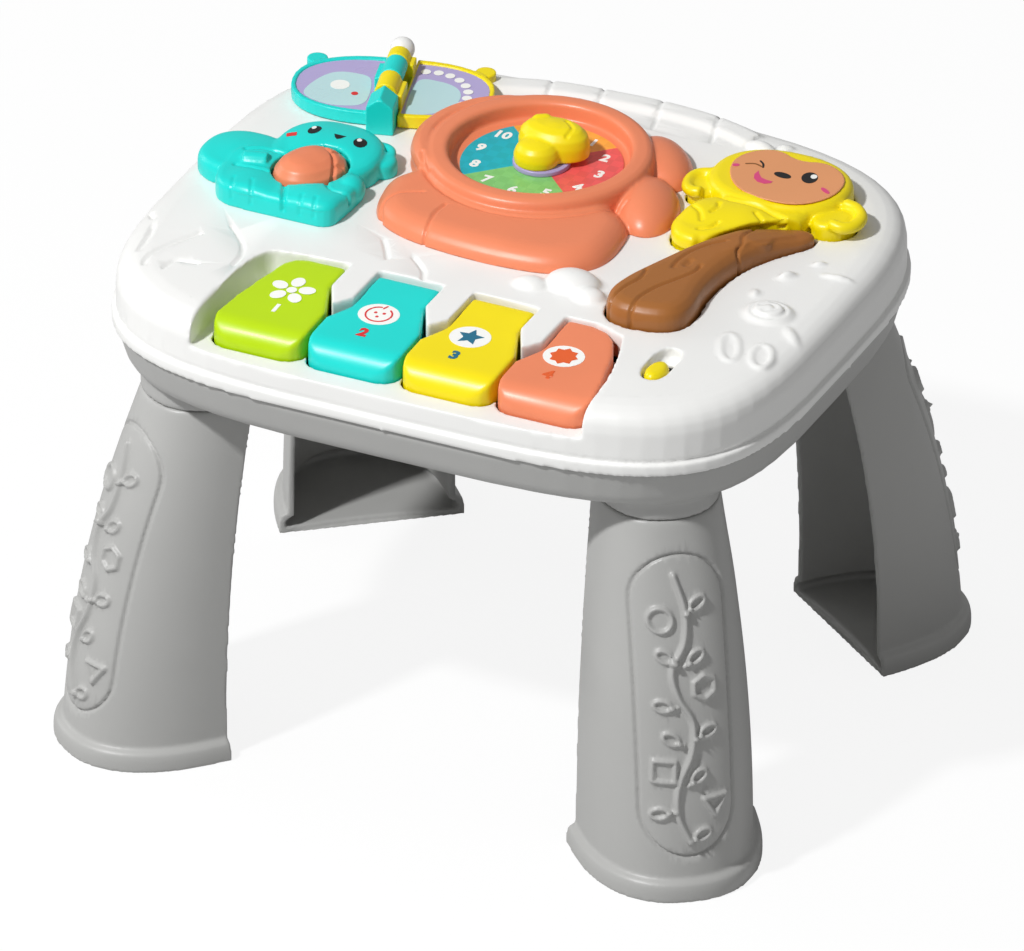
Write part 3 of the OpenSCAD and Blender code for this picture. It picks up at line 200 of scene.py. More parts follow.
def plastic(name, code, gloss=0.36, skin=0.06, skin_size=0.9, shade=0.05, metal=0.0):
    """gloss is the mean roughness, skin the depth of the mould texture, skin_size its grain in mm."""
    paint = bpy.data.materials.new(name)
    paint.use_nodes = True
    tree = paint.node_tree
    shader = tree.nodes["Principled BSDF"]
    shader.inputs["Metallic"].default_value = metal
    place = node(tree, "TexCoord").outputs["Object"]
    flow = node(tree, "TexNoise", Scale=clouds_per_metre, Detail=3.0)
    grain = node(tree, "TexNoise", Scale=1000 / skin_size, Detail=2.0)
    colour = node(tree, "ValToRGB")
    darker, plain = colour.color_ramp.elements
    darker.position, plain.position = cloud_low, cloud_high
    darker.color = [c * (1 - shade) for c in tint(code)[:3]] + [1]
    plain.color = tint(code)
    wear = node(tree, "MapRange", **{"From Min": cloud_low, "From Max": cloud_high,
                                     "To Min": gloss - shinier, "To Max": gloss + duller})
    bump = node(tree, "Bump", Strength=skin, Distance=skin_height)
    link(tree, (place, flow.inputs["Vector"]), (place, grain.inputs["Vector"]),
         (flow.outputs["Fac"], colour.inputs["Fac"]), (flow.outputs["Fac"], wear.inputs["Value"]),
         (grain.outputs["Fac"], bump.inputs["Height"]),
         (colour.outputs["Color"], shader.inputs["Base Color"]),
         (wear.outputs[0], shader.inputs["Roughness"]), (bump.outputs["Normal"], shader.inputs["Normal"]))
    return paint


print("a plastic has clouds of about", round(1000 / clouds_per_metre), "mm")

# %% [markdown]
# ## Plastics of the toy
# The white, the grey and the bright colours differ little in gloss. Steel is metallic, and the rubber strip
# is duller. Each exact piece takes the finish that its record names, and keeps it if it isn't replaced.

# %% Plastics of the toy
finish = {
    "white_shell": plastic("white_shell", "F0F0EE", 0.38, shade=0.02),
    "grey_shell": plastic("grey_shell", "B0B0AE", 0.42, 0.08, shade=0.04),
    "coral": plastic("coral", "EE8A62"),
    "teal": plastic("teal", "14DAD2"),
    "lime": plastic("lime", "BADE00"),
    "yellow": plastic("yellow", "F7E100"),
    "brown": plastic("brown", "A4672F", 0.4),
    "tan": plastic("tan", "E49C6A", 0.42),
    "lilac": plastic("lilac", "B0A4D6"),
    "printed_card": plastic("printed_card", "B6AAD8", 0.3, 0.03),
    "dark_plastic": plastic("dark_plastic", "222222", 0.5, 0.1),
    "board": plastic("board", "1E6B3A", 0.45, 0.1, 0.5, 0.15),
    "silicone": plastic("silicone", "D8D8CE", 0.6, 0.05),
    "steel": plastic("steel", "B9BCC2", 0.3, 0.05, 0.3, 0.1, 1.0),
    "cell_wrap": plastic("cell_wrap", "4A5A66", 0.3, 0.02, shade=0.1, metal=0.6),
    "lead_skin": plastic("lead_skin", "8C1F1F", 0.5),
}
for row in frame["record"]["subparts"]:
    slots = nodes[row["node"]].data.materials
    slots.clear()
    slots.append(finish[row["material_slot"]])
print(len(finish), "plastics on", len(nodes), "exact pieces")


# %% [markdown]
# ## Picking and editing
# Operators work on what is selected and active. `pick` selects a few objects and makes the first one active,
# `edit` opens a piece with its whole mesh selected, and `done` closes it. `worked` adds a modifier, sets it
# and applies it, so that no live modifier stays on a finished piece.

# %% Picking and editing
def pick(*things):
    clear()
    for thing in things:
        thing.select_set(True)
    bpy.context.view_layer.objects.active = things[0]


def edit(piece):
    pick(piece)
    bpy.ops.object.mode_set(mode="EDIT")
    bpy.ops.mesh.select_all(action="SELECT")


def done():
    bpy.ops.object.mode_set(mode="OBJECT")


def worked(piece, kind, **settings):
    pick(piece)
    bpy.ops.object.modifier_add(type=kind)
    step = piece.modifiers[-1]
    for key, value in settings.items():
        setattr(step, key, value)
    bpy.ops.object.modifier_apply(modifier=step.name)


def apply_place():
    bpy.ops.object.transform_apply(location=True, rotation=True, scale=True)


# %% [markdown]
# ## Lumps and bars
# A lump is a stretched sphere, and a bar is a round rod bent through a few points. A curve with a bevel makes
# the rod, because it keeps its roundness in every bend.

# %% Lumps and bars
def lump(x, y, z, rx, ry, rz, turn=0):
    clear()
    middle, radii = Vector((x, y, z)) * MM, Vector((rx, ry, rz)) * MM
    bpy.ops.mesh.primitive_uv_sphere_add(segments=40, ring_count=20, radius=1, location=middle,
                                         rotation=(0, 0, math.radians(turn)), scale=radii)
    apply_place()
    return bpy.context.object


def bar(points, radius, closed=False):
    clear()
    bpy.ops.curve.primitive_bezier_curve_add()
    path = bpy.context.object
    path.data.bevel_depth = radius * MM
    path.data.bevel_resolution = 3
    path.data.use_fill_caps = True
    spline = path.data.splines[0]
    spline.use_cyclic_u = closed
    spline.bezier_points.add(len(points) - 2)
    for knot, place in zip(spline.bezier_points, points):
        knot.co = Vector(place) * MM
        knot.handle_left_type = knot.handle_right_type = "AUTO"
    bpy.ops.object.convert(target="MESH")
    return bpy.context.object


# %% [markdown]
# ## Mounds
# A mound is an upright block from an outline, whose top edge is a quarter of an ellipse. A bevel would fold
# over itself on such a wide edge, so the outline is stepped inwards level by level along its own normals.

# %% Mounds
def mound(points, low, high, edge, inset):
    ring = np.array(points[:-1] if np.allclose(points[0], points[-1]) else points, float)
    way = np.roll(ring, -1, 0) - np.roll(ring, 1, 0)
    way /= np.linalg.norm(way, axis=1)[:, None]
    clockwise = (ring[:, 0] * np.roll(ring[:, 1], -1) - ring[:, 1] * np.roll(ring[:, 0], -1)).sum() < 0
    if clockwise:
        way = -way
    inward = np.stack([-way[:, 1], way[:, 0]], 1)
    levels = [(0, low)] + [(inset * (1 - math.cos(a)), high - edge + edge * math.sin(a))
                           for a in np.radians(range(0, 91, 15))]
    count = len(ring)
    corners = [(*(ring[i] + inward[i] * d), z) for d, z in levels for i in range(count)]
    sides = [(k + i, k + (i + 1) % count, k + count + (i + 1) % count, k + count + i)
             for k in range(0, (len(levels) - 1) * count, count) for i in range(count)]
    bottom, lid = tuple(range(count)), tuple(range(len(corners) - count, len(corners)))
    mesh = bpy.data.meshes.new("mound")
    mesh.from_pydata([Vector(c) * MM for c in corners], [], sides + [bottom, lid])
    block = bpy.data.objects.new("mound", mesh)
    scene.collection.objects.link(block)
    edit(block)
    bpy.ops.mesh.normals_make_consistent(inside=False)
    done()
    return block


# %% [markdown]
# ## Copies of the exact solids
# The mesh of an exact solid is loose triangles, so a copy is welded before anything else is done to it. The
# legs have long flat facets, and smoothing alone would leave them visible. Their copy is subdivided, with a
# crease on each real edge so that it stays sharp.

# %% Copies of the exact solids
weld = 0.01 * MM
real_edge = math.radians(28)


def copy_of(name):
    clear()
    twin = nodes[name].copy()
    twin.data = nodes[name].data.copy()
    twin.parent = None
    scene.collection.objects.link(twin)
    edit(twin)
    bpy.ops.mesh.remove_doubles(threshold=weld)
    done()
    return twin


def rounded_copy(name):
    twin = copy_of(name)
    edit(twin)
    bpy.ops.mesh.tris_convert_to_quads(face_threshold=0.6, shape_threshold=0.6)
    bpy.ops.mesh.select_all(action="DESELECT")
    bpy.ops.mesh.select_mode(type="EDGE")
    bpy.ops.mesh.edges_select_sharp(sharpness=real_edge)
    bpy.ops.transform.edge_crease(value=1)
    done()
    worked(twin, "SUBSURF", levels=2, render_levels=2)
    return twin


# %% [markdown]
# ## Casting and keeping
# A piece is cast from its exact solid and its additions: a voxel remesh melts them into one skin, and a few
# smoothing passes round every edge, as a mould does. `keep` then thins the mesh if it has to, gives the
# piece its finish and the body that it moves with, and hides the exact solid that it stands for.

# %% Casting and keeping
def cast(name, parts, voxel, passes):
    pick(*parts)
    if len(parts) > 1:
        bpy.ops.object.join()
    piece = bpy.context.object
    piece.name = piece.data.name = name
    worked(piece, "REMESH", mode="VOXEL", voxel_size=voxel * MM)
    worked(piece, "SMOOTH", factor=0.5, iterations=passes)
    return piece


def keep(piece, body, slot, *stands_for, most=190000):
    """The piece gets at most the given number of triangles."""
    faces = sum(len(face.vertices) - 2 for face in piece.data.polygons)
    if faces > most:
        worked(piece, "DECIMATE", ratio=most / faces)
    pick(piece)
    bpy.ops.object.shade_smooth()
    piece.data.materials.clear()
    piece.data.materials.append(finish[slot])
    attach(piece, body)
    if stands_for:
        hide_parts(*stands_for)
    print(piece.name, "has", min(faces, most), "triangles")
    return piece


# %% [markdown]
# ## Outlines
# Creases, ribs and prints follow lines on a plane. An oval can be turned, and with few corners it is also a
# hexagon, a square or a triangle. `flowing` draws a smooth line through a few points, and `loop` closes one.

# %% Outlines
def oval(x, y, rx, ry, turn=0, count=32):
    c, s = math.cos(math.radians(turn)), math.sin(math.radians(turn))
    ring = [(rx * math.cos(a), ry * math.sin(a)) for a in np.linspace(0, math.tau, count, endpoint=False)]
    return [(x + c * u - s * v, y + s * u + c * v) for u, v in ring]


def flowing(points, closed=False, steps=8):
    points = [np.array(p, float) for p in points]
    ends = [points[-1]] + points + points[:2] if closed else [points[0]] + points + [points[-1]]
    line = []
    for a, b, c, d in zip(ends, ends[1:], ends[2:], ends[3:]):
        for t in np.arange(steps) / steps:
            line.append(0.5 * (2 * b + (c - a) * t + (2 * a - 5 * b + 4 * c - d) * t ** 2
                               + (3 * b - a - 3 * c + d) * t ** 3))
    return line + [line[0] if closed else points[-1]]


def loop(points):
    return list(points) + [points[0]]


# %% [markdown]
# ## Lines in the mould
# The top is drawn on from above, and a leg from outside. Each point of the skin near a line moves in by a
# smooth amount, which keeps the edges of the line soft. A negative depth moves it out, so the same tool
# raises a rib, or swells a whole head with one short and very wide line.

# %% Lines in the mould
class Plane:
    """A drawing plane: its middle in mm, and the directions of its right and its up."""

    def __init__(self, middle=(0, 0, 0), right=(1, 0, 0), up=(0, 1, 0)):
        self.middle, self.right, self.up = (np.array(v, float) for v in (middle, right, up))
        self.out = np.cross(self.right, self.up)

    def flat(self, places):
        return np.stack([(places - self.middle) @ self.right, (places - self.middle) @ self.up], 1)


from_above = Plane()
far_away = 1e9


def skin(piece):
    """The places of a mesh's points in mm, and their normals."""
    points = piece.data.vertices
    places, normals = np.empty(len(points) * 3), np.empty(len(points) * 3)
    points.foreach_get("co", places)
    points.foreach_get("normal", normals)
    return places.reshape(-1, 3) / MM, normals.reshape(-1, 3)


def move_skin(piece, places):
    piece.data.vertices.foreach_set("co", (places * MM).ravel())
    piece.data.update()


def press(piece, lines, half_width, depth, plane=from_above, least=0.3):
    """Only skin whose normal leans towards the plane by at least the cosine least is moved."""
    places, normals = skin(piece)
    faces_us = normals @ plane.out > least
    index = np.flatnonzero(faces_us)
    flat = plane.flat(places[index])
    near = np.full(len(index), far_away)
    for line in lines:
        line = np.array(line, float)
        low, high = line.min(0) - half_width, line.max(0) + half_width
        here = np.flatnonzero(((flat > low) & (flat < high)).all(1))
        spot = flat[here]
        for a, b in zip(line, line[1:]):
            run = b - a
            t = np.clip(((spot - a) @ run) / max(run @ run, 1e-9), 0, 1)
            near[here] = np.minimum(near[here], np.linalg.norm(spot - a - t[:, None] * run, axis=1))
    share = np.clip(1 - (near / half_width) ** 2, 0, 1) ** 1.5
    places[index] -= normals[index] * (depth * share)[:, None]
    move_skin(piece, places)


# %% [markdown]
# ## White top
# The top is one large cap with the key recess. Its raised motifs are bars and lumps that melt into the cap:
# a ribbed trunk along the back edge with leaves beside it, a small cloud behind the keys, and a cut stump
# with two shells at the right.

# %% White top
top_z = 232
trunk = [(-70, 116), (-44, 125), (-10, 129), (26, 129), (48, 125), (62, 120)]
trunk_radius, trunk_sunk = 13, 10
# each lump: x, y, depth of its middle under the top, three radii, turn
cloud = [(44, -34, 1, 13.5, 10.5, 7.5, 0), (56, -42, 1, 8, 6.5, 5.5, 0), (27, -42, 1, 8.5, 6.5, 4.6, 0)]
stump = [(134, -21, 4, 14, 12.5, 8, 0), (150, -33, 6, 13, 5, 7, -50)]
leaves = [(69, 115, 2, 9, 5, 6, -20), (78, 120, 4, 6, 4.5, 6, 30), (85, 111, 2, 9, 4.5, 6, -40),
          (94, 116, 5, 6, 4.5, 6, 25), (102, 107, 3, 8, 4.5, 6, -50), (112, 107, 6, 6, 4, 6, 5),
          (127.6, 13.2, 3, 5.5, 2.8, 6, 50), (147, 22, 4.5, 11, 2.6, 6, 8), (136, 29.5, 4, 4.5, 2.4, 6, 40),
          (121, -7, 4.4, 3, 6, 6, 20)]
# each shell: the oval it follows, its depth under the top, its thickness
shells = [((147, -57, 4.5, 10, 20, 8), 0.6, 1.5), ((131, -56, 4, 12, 25, 8), 0.4, 1.4)]


def on_top(x, y, below, *rest):
    return lump(x, y, top_z - below, *rest)


motifs = [bar([(x, y, top_z - trunk_sunk) for x, y in trunk], trunk_radius)]
motifs += [on_top(*form) for form in cloud + stump]
motifs += [bar([(x, y, top_z - below) for x, y in oval(*form)], radius, closed=True)
           for form, below, radius in shells]
motifs += [on_top(*form) for form in leaves]
top = cast("moulded_top", [copy_of("top_shell")] + motifs, voxel=1.0, passes=4)
print("the top carries", len(motifs), "raised motifs")

# %% [markdown]
# ## Lines in the top
# Grass blades, the seams of the trunk and the curl on the stump are pressed in from above. A shallow groove
# runs round the outer wall, just above the joint with the housing. It is pressed in sideways, only where the
# wall faces outwards.

# %% Lines in the top
blades = [[(-156, -54), (-153, -58)], [(-149, -66), (-147, -76), (-146, -87)],
          [(-127, -63), (-134, -76), (-139, -90), (-138, -98)], [(-116, -88), (-126, -90), (-128, -98)],
          [(-117, -51), (-107, -62), (-102, -72), (-101, -83)], [(-50, -33), (-45, -41), (-41, -48)],
          [(-31, -42), (-22, -51), (-18, -60)]]
seams = [[(x - 3, 143), (x, 128), (x + 4, 112)] for x in (-42, -17, 12, 41)]
stump_ring = loop(oval(134, -21, 8, 7))
stump_curl = [(130, -20), (134, -17), (137, -21), (133, -24)]
groove_z, groove_half = 207.6, 1.2
outer_wall, facing_out = 120, 60

press(top, [flowing(line) for line in blades], half_width=1.5, depth=1.5)
press(top, [flowing(line) for line in seams], half_width=1.2, depth=1.3)
press(top, [stump_ring, flowing(stump_curl)], half_width=1.5, depth=1.0)
places, normals = skin(top)
groove = np.clip(1 - ((places[:, 2] - groove_z) / groove_half) ** 2, 0, 1) ** 1.5
groove *= np.hypot(*places[:, :2].T) > outer_wall
groove *= np.einsum("ij,ij->i", places[:, :2], normals[:, :2]) > facing_out
move_skin(top, places - normals * groove[:, None])
keep(top, "table", "white_shell", "top_shell")

# %% [markdown]
# ## Grey housing
# The housing is a plain bowl with four collars for the legs. Only its edges need rounding.

# %% Housing
housing = cast("moulded_housing", [copy_of("base_housing")], voxel=1.5, passes=4)
keep(housing, "table", "grey_shell", "base_housing", most=120000)

# %% [markdown]
# ## Legs
# Each leg is a hollow shell, open at its inner side. Its outer face has a long panel with a pressed outline,
# and inside it stand a ring, a hexagon, a square, a triangle and a climbing vine with leaves. The drawing is
# made once, flat, with its height above the floor as its second number.

# %% Drawing for the legs
panel_low, panel_high, panel_half = 21, 158, 21.5
arc = [math.radians(a) for a in range(0, 181, 12)]
panel = loop([(panel_half * math.cos(a), panel_high - panel_half + panel_half * math.sin(a)) for a in arc]
             + [(-panel_half * math.cos(a), panel_low + panel_half - panel_half * math.sin(a)) for a in arc])
ring, hexagon = oval(-9, 130, 5.2, 5.2), oval(9, 99, 5.4, 5.4, 30, 6)
square, triangle = oval(-10.5, 62, 6.8, 6.8, 42, 4), oval(12, 45, 6, 6, -90, 3)
stem = [(-2, 149), (2, 134), (1, 120), (-5, 108), (-3, 96), (3, 84), (2, 70), (-4, 56), (-5, 42), (0, 29)]
vine_leaves = [(8, 136, 30), (-8, 114, 150), (6, 113, 35), (-10, 92, 170), (10, 79, 20), (-7, 77, 150),
               (5, 59, 40), (-13, 42, 190), (6, 31, 25)]
leaf_long, leaf_wide, stalk_end = 3.8, 2.4, 6.6


def stalk(x, z, turn):
    c, s = math.cos(math.radians(turn)), math.sin(math.radians(turn))
    return [(x - stalk_end * c, z - stalk_end * s), (x - leaf_long * c, z - leaf_long * s)]


print("the drawing has", len(vine_leaves), "leaves")

# %% [markdown]
# ## Four legs alike
# All four legs carry the same drawing, each on an upright plane that looks straight at its outer face. Only
# the outline of the panel is pressed in. The rest is raised, so its depth is negative.

# %% Legs
leg_x, leg_y, leg_turn = 117.7, 96.6, math.radians(52.4)
for side_x, side_y, name in ((-1, -1, "front_left_leg"), (1, -1, "front_right_leg"), (1, 1, "back_right_leg"),
                             (-1, 1, "back_left_leg")):
    out = Vector((side_x * math.cos(leg_turn), side_y * math.sin(leg_turn), 0))
    front = Plane((side_x * leg_x, side_y * leg_y, 0), Vector((0, 0, 1)).cross(out), (0, 0, 1))
    leg = cast("moulded_" + name, [rounded_copy(name)], voxel=0.85, passes=5)
    press(leg, [panel], 1.0, 1.5, front)
    press(leg, [loop(form) for form in (ring, hexagon, square, triangle)], 1.5, -1.9, front)
    press(leg, [flowing(stem)], 1.9, -2.2, front)
    press(leg, [loop(oval(x, z, leaf_long, leaf_wide, turn)) for x, z, turn in vine_leaves], 1.3, -1.7, front)
    press(leg, [stalk(*leaf) for leaf in vine_leaves], 1.2, -1.5, front)
    keep(leg, "table", "grey_shell", name, most=70000)

# %% [markdown]
# ## Piano keys
# Four keys in four colours roll over at the front. Their edges are well rounded, so they get many smoothing
# passes.

# %% Keys
for colour in ("lime", "teal", "yellow", "coral"):
    piano_key = cast(colour + "_key_moulded", [copy_of(colour + "_key")], voxel=0.7, passes=26)
    keep(piano_key, colour + "_key", colour, colour + "_key", most=50000)

# %% [markdown]
# ## Flat shapes for prints
# Faces, numbers and stickers are printed on the toy. Each print starts as flat shapes: a filled outline, a
# line of even width with round ends, or a word.

# %% Flat shapes for prints
def outline(points):
    clear()
    bpy.ops.mesh.primitive_circle_add(vertices=len(points), radius=1, fill_type="NGON")
    flat = bpy.context.object
    for vertex, (x, y) in zip(flat.data.vertices, points):
        vertex.co = (x * MM, y * MM, 0)
    return flat


def stroke(points, width):
    line = [np.array(p, float) for p in flowing(points)]
    way = [b - a for a, b in zip(line, line[1:])]
    way = [w / np.linalg.norm(w) for w in way + way[-1:]]
    side = [np.array((-w[1], w[0])) * width / 2 for w in way]
    left, right = [p + s for p, s in zip(line, side)], [p - s for p, s in zip(line, side)]
    tip, tail = line[-1] + way[-1] * width / 2, line[0] - way[0] * width / 2
    return outline(left + [tip] + right[::-1] + [tail])


def words(text, x, y, size, bold=0.35):
    clear()
    bpy.ops.object.text_add()
    flat = bpy.context.object
    flat.data.body = text
    flat.data.align_x, flat.data.align_y = "CENTER", "CENTER"
    flat.data.size = size * MM
    flat.data.offset = bold * MM / 2
    flat.data.resolution_u = 4
    bpy.ops.object.convert(target="MESH")
    flat.location = (x * MM, y * MM, 0)
    apply_place()
    return bpy.context.object


# %% [markdown]
# ## Ink
# Each print is a real layer a tenth of a millimetre thick. Its flat shapes are cut into small triangles and
# dropped on the piece below, and the sheet is given its thickness. A second ink on the first is a higher
# layer.

# %% Ink
inks = {"ink_white": "FAFAF6", "ink_black": "161414", "ink_pink": "DD4A80", "ink_red": "DE3030",
        "ink_brown": "8A5A2C", "ink_blue": "1F6E8C", "ink_pale": "BFE0E4", "ink_orange": "E8622A"}
for name, code in inks.items():
    finish[name] = plastic(name, code, 0.32, 0.02)
drop_from = 0.3
ink_thickness, ink_sunk, layer_height = 0.1, 0.05, 0.08
print_edge = math.radians(40)


def printed(name, flats, below, ink, body, layer=1, fine=2):
    pick(*flats)
    if len(flats) > 1:
        bpy.ops.object.join()
    sheet = bpy.context.object
    sheet.name = sheet.data.name = name
    edit(sheet)
    bpy.ops.mesh.quads_convert_to_tris()
    bpy.ops.mesh.subdivide(number_cuts=fine)
    bpy.ops.mesh.remove_doubles(threshold=weld)
    bpy.ops.mesh.normals_make_consistent(inside=False)
    done()
    if sum(face.normal.z for face in sheet.data.polygons) < 0:
        sheet.data.flip_normals()
    ground = BVHTree.FromObject(below, bpy.context.evaluated_depsgraph_get())
    for vertex in sheet.data.vertices:
        start = Vector((vertex.co.x, vertex.co.y, drop_from))
        hit = ground.ray_cast(start, Vector((0, 0, -1)))[0] or ground.find_nearest(start)[0]
        vertex.co.z = hit.z + (layer * layer_height - ink_sunk) * MM
    worked(sheet, "SOLIDIFY", thickness=ink_thickness * MM, offset=1)
    keep(sheet, body, ink)
    bpy.ops.object.shade_smooth_by_angle(angle=print_edge)


print(len(inks), "inks")

# %% [markdown]
# ## Turning and trimming
# A ring is a profile spun round an upright axis, as on a lathe. `trim` cuts off all that is below a height
# and closes the cut, so that a piece that sits on the table has no hidden underside.

# %% Turning and trimming
spin_weld = 0.02 * MM


def turned(profile, x, y, steps=96):
    """Spins a closed profile of (radius, height) points round the upright axis at x, y."""
    clear()
    bpy.ops.mesh.primitive_circle_add(vertices=len(profile), radius=1)
    piece = bpy.context.object
    for vertex, (radius, height) in zip(piece.data.vertices, profile):
        vertex.co = ((x + radius) * MM, y * MM, height * MM)
    edit(piece)
    bpy.ops.mesh.spin(steps=steps, angle=math.tau, center=(x * MM, y * MM, 0), axis=(0, 0, 1))
    bpy.ops.mesh.select_all(action="SELECT")
    bpy.ops.mesh.remove_doubles(threshold=spin_weld)
    bpy.ops.mesh.normals_make_consistent(inside=False)
    done()
    return piece


def trim(piece, height):
    edit(piece)
    bpy.ops.mesh.bisect(plane_co=(0, 0, height * MM), plane_no=(0, 0, 1), use_fill=True, clear_inner=True)
    done()


# %% [markdown]
# ## Dial surround
# A coral animal lies curled round the dial: a ring with a round well, a thick tail in front, a cheek at the
# left and two folded lobes at the right. The ring is turned, the tail is a mound with room cut out for the
# well, the cheek is two bent bars, and the lobes are lumps.

# %% Dial surround
dial_x, dial_y = -10.7, 50
card_x, card_y = dial_x - 1.6, dial_y + 1.6
well_z = 238
ring_profile = [(6, 235), (6, well_z), (40.3, well_z), (41, 239), (41.5, 244.6), (42.4, 245.8), (44, 246.2),
                (48.5, 246), (50.6, 245), (51.6, 243), (52.2, 239), (52.8, 228), (40, 228), (38, 235)]
tail_outline = [(-66, 16), (-67, -2), (-60, -18), (-44, -28), (-18, -33), (12, -33.5), (34, -29), (48, -16),
                (50, 4), (44, 22), (20, 34), (-45, 34)]
cheek_path = [(222, 47.5), (205, 51.5), (190, 54), (172, 55), (154, 54), (138, 51.5), (120, 47.5)]
cheek_radius, cheek_heights = 6, (233, 239.6)
core, cut_radius, cut_low, cut_high = 0.5, 47, 210, 260
tail_creases = [[(-46, 0), (-55, -5), (-60, -13), (-56, -24), (-52, -32)],
                [(-32, -6), (-33, -14), (-32, -24), (-31, -36)]]
rim_radius = 54
seat_gap = 0.05


def round_card(angle, radius):
    return card_x + radius * math.cos(math.radians(angle)), card_y + radius * math.sin(math.radians(angle))


ring = turned(ring_profile, card_x, card_y)
tail = mound(flowing(tail_outline, True), low=226, high=241, edge=9.5, inset=12)
cheek = [bar([(*round_card(angle, radius), z) for angle, radius in cheek_path], cheek_radius)
         for z in cheek_heights]
cutter = turned([(core, cut_low), (cut_radius, cut_low), (cut_radius, cut_high), (core, cut_high)],
                dial_x, dial_y)
worked(tail, "BOOLEAN", operation="DIFFERENCE", object=cutter, solver="EXACT")
bpy.data.objects.remove(cutter)
lobes = [lump(35, 80, 231, 24, 14, 12, -52), lump(46, 41, 231, 25, 15, 13, -68)]
surround = cast("moulded_surround", [ring, tail] + cheek + lobes, voxel=0.75, passes=5)
press(surround, [flowing(line) for line in tail_creases], half_width=1.0, depth=1.1, least=0.0)
rim = [(dial_x + rim_radius * math.cos(a), dial_y + rim_radius * math.sin(a))
       for a in np.radians(range(205, 341, 9))]
press(surround, [rim], half_width=1.4, depth=1.0, least=0.0)
trim(surround, top_z + seat_gap)
keep(surround, "table", "coral", "dial_surround")

# %% [markdown]
# ## Dial card
# The card has four coloured quarters, so its colour comes from the angle round the middle. A fine check over
# it stands for the dots of the print.

# %% Dial card
colours = [(0.0, "12B3C4"), (0.125, "86CC76"), (0.375, "F0605F"), (0.625, "FDAE45"), (0.875, "12B3C4")]
checks_per_metre, check_shade = 200, (0.9, 0.93, 0.9, 1)

card_print = plastic("card_print", "FFFFFF", 0.28, 0.02)
tree = card_print.node_tree
object_place = next(n for n in tree.nodes if n.type == "TEX_COORD").outputs["Object"]
middle = node(tree, "Mapping", Location=(-card_x * MM, -card_y * MM, 0))
angle = node(tree, "TexGradient")
angle.gradient_type = "RADIAL"
quarters = node(tree, "ValToRGB")
quarters.color_ramp.interpolation = "CONSTANT"
for position, _ in colours[2:]:
    quarters.color_ramp.elements.new(position)
for stop, (position, code) in zip(quarters.color_ramp.elements, colours):
    stop.position, stop.color = position, tint(code)
check = node(tree, "TexChecker", Scale=checks_per_metre, Color1=white, Color2=check_shade)
product = node(tree, "Mix")
product.data_type, product.blend_type = "RGBA", "MULTIPLY"
product.inputs["Factor"].default_value = 1.0
link(tree, (object_place, middle.inputs["Vector"]), (middle.outputs[0], angle.inputs[0]),
     (middle.outputs[0], check.inputs["Vector"]), (angle.outputs["Fac"], quarters.inputs["Fac"]),
     (quarters.outputs["Color"], product.inputs[6]), (check.outputs["Color"], product.inputs[7]),
     (product.outputs[2], tree.nodes["Principled BSDF"].inputs["Base Color"]))
nodes["dial_card"].data.materials[0] = card_print
print("the card has", len(colours) - 1, "quarters")

# %% [markdown]
# ## Dial numbers
# The twelve numbers stand upright in a circle, as on a clock. They are printed apart from the card, because a
# pattern in the finish couldn't keep their edges sharp.

# %% Dial numbers
number_radius, number_size, number_bold = 29.5, 8.4, 0.7
figures = [words(str(hour), card_x + number_radius * math.sin(math.radians(30 * hour)),
                 card_y + number_radius * math.cos(math.radians(30 * hour)), number_size, number_bold)
           for hour in range(1, 13)]
printed("dial_numbers", figures, nodes["dial_card"], "ink_white", "table", fine=0)

# %% [markdown]
# ## Knob and its ring
# The knob is two soft lobes that a small hand can grip. The lilac ring under it stays still and hides the
# gap round the spindle.

# %% Knob
knob_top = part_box("dial_knob")[1].z / MM
knob = cast("moulded_knob", [copy_of("dial_knob"), lump(dial_x + 2, dial_y + 9, knob_top - 8.6, 17, 12, 9),
                             lump(dial_x - 1, dial_y - 3, knob_top - 11, 10.8, 10.2, 7.4)],
            voxel=0.55, passes=12)
knuckle = [(dial_x - 8, dial_y + 13), (dial_x - 5, dial_y + 15)]
fold = [(dial_x + 6, dial_y + 14), (dial_x + 11, dial_y + 9), (dial_x + 11, dial_y + 3)]
press(knob, [knuckle], half_width=3, depth=-1.2)
press(knob, [flowing(fold)], half_width=1.4, depth=0.8)
keep(knob, "dial", "yellow", "dial_knob", most=60000)
collar = cast("moulded_dial_ring", [copy_of("dial_base_ring")], voxel=0.35, passes=6)
keep(collar, "table", "lilac", "dial_base_ring", most=20000)

# %% [markdown]
# ## Squirrel
# The squirrel is one teal cover with an opening for the acorn button. A paw, an ear and an arm are added to
# it. Broad presses with a negative depth then swell its head, tail and feet, and thin ones draw the folds.

# %% Squirrel
paw = (-79, -7, 237, 6.6, 8, 7.2)
ear = [(-85, 32, 237.5), (-79.5, 33, 238.5), (-75, 28, 238.5), (-76, 20, 238)]
arm = [(-131, -10, 240.8), (-120, -7, 241.6)]
head, brush = [(-106, 22), (-96, 22)], [(-137, 2), (-133, 2)]
feet = [[(-122, -22), (-118, -28)], [(-92, -24), (-86, -28)]]
belly = [(-106, -19), (-102, -28), (-98, -38)]
toes = [[(-127, -28), (-124, -38)], [(-118, -28), (-114, -38)], [(-92, -30), (-90, -38)],
        [(-85, -30), (-83, -38)]]
paw_fold, paw_tip = [(-88, -14), (-83, -19), (-77, -19), (-70, -16)], [(-70, 6), (-76, 3)]
arm_folds = [[(-133, -3), (-126, 1), (-117, 2)], [(-132, -16), (-124, -17), (-116, -16)]]

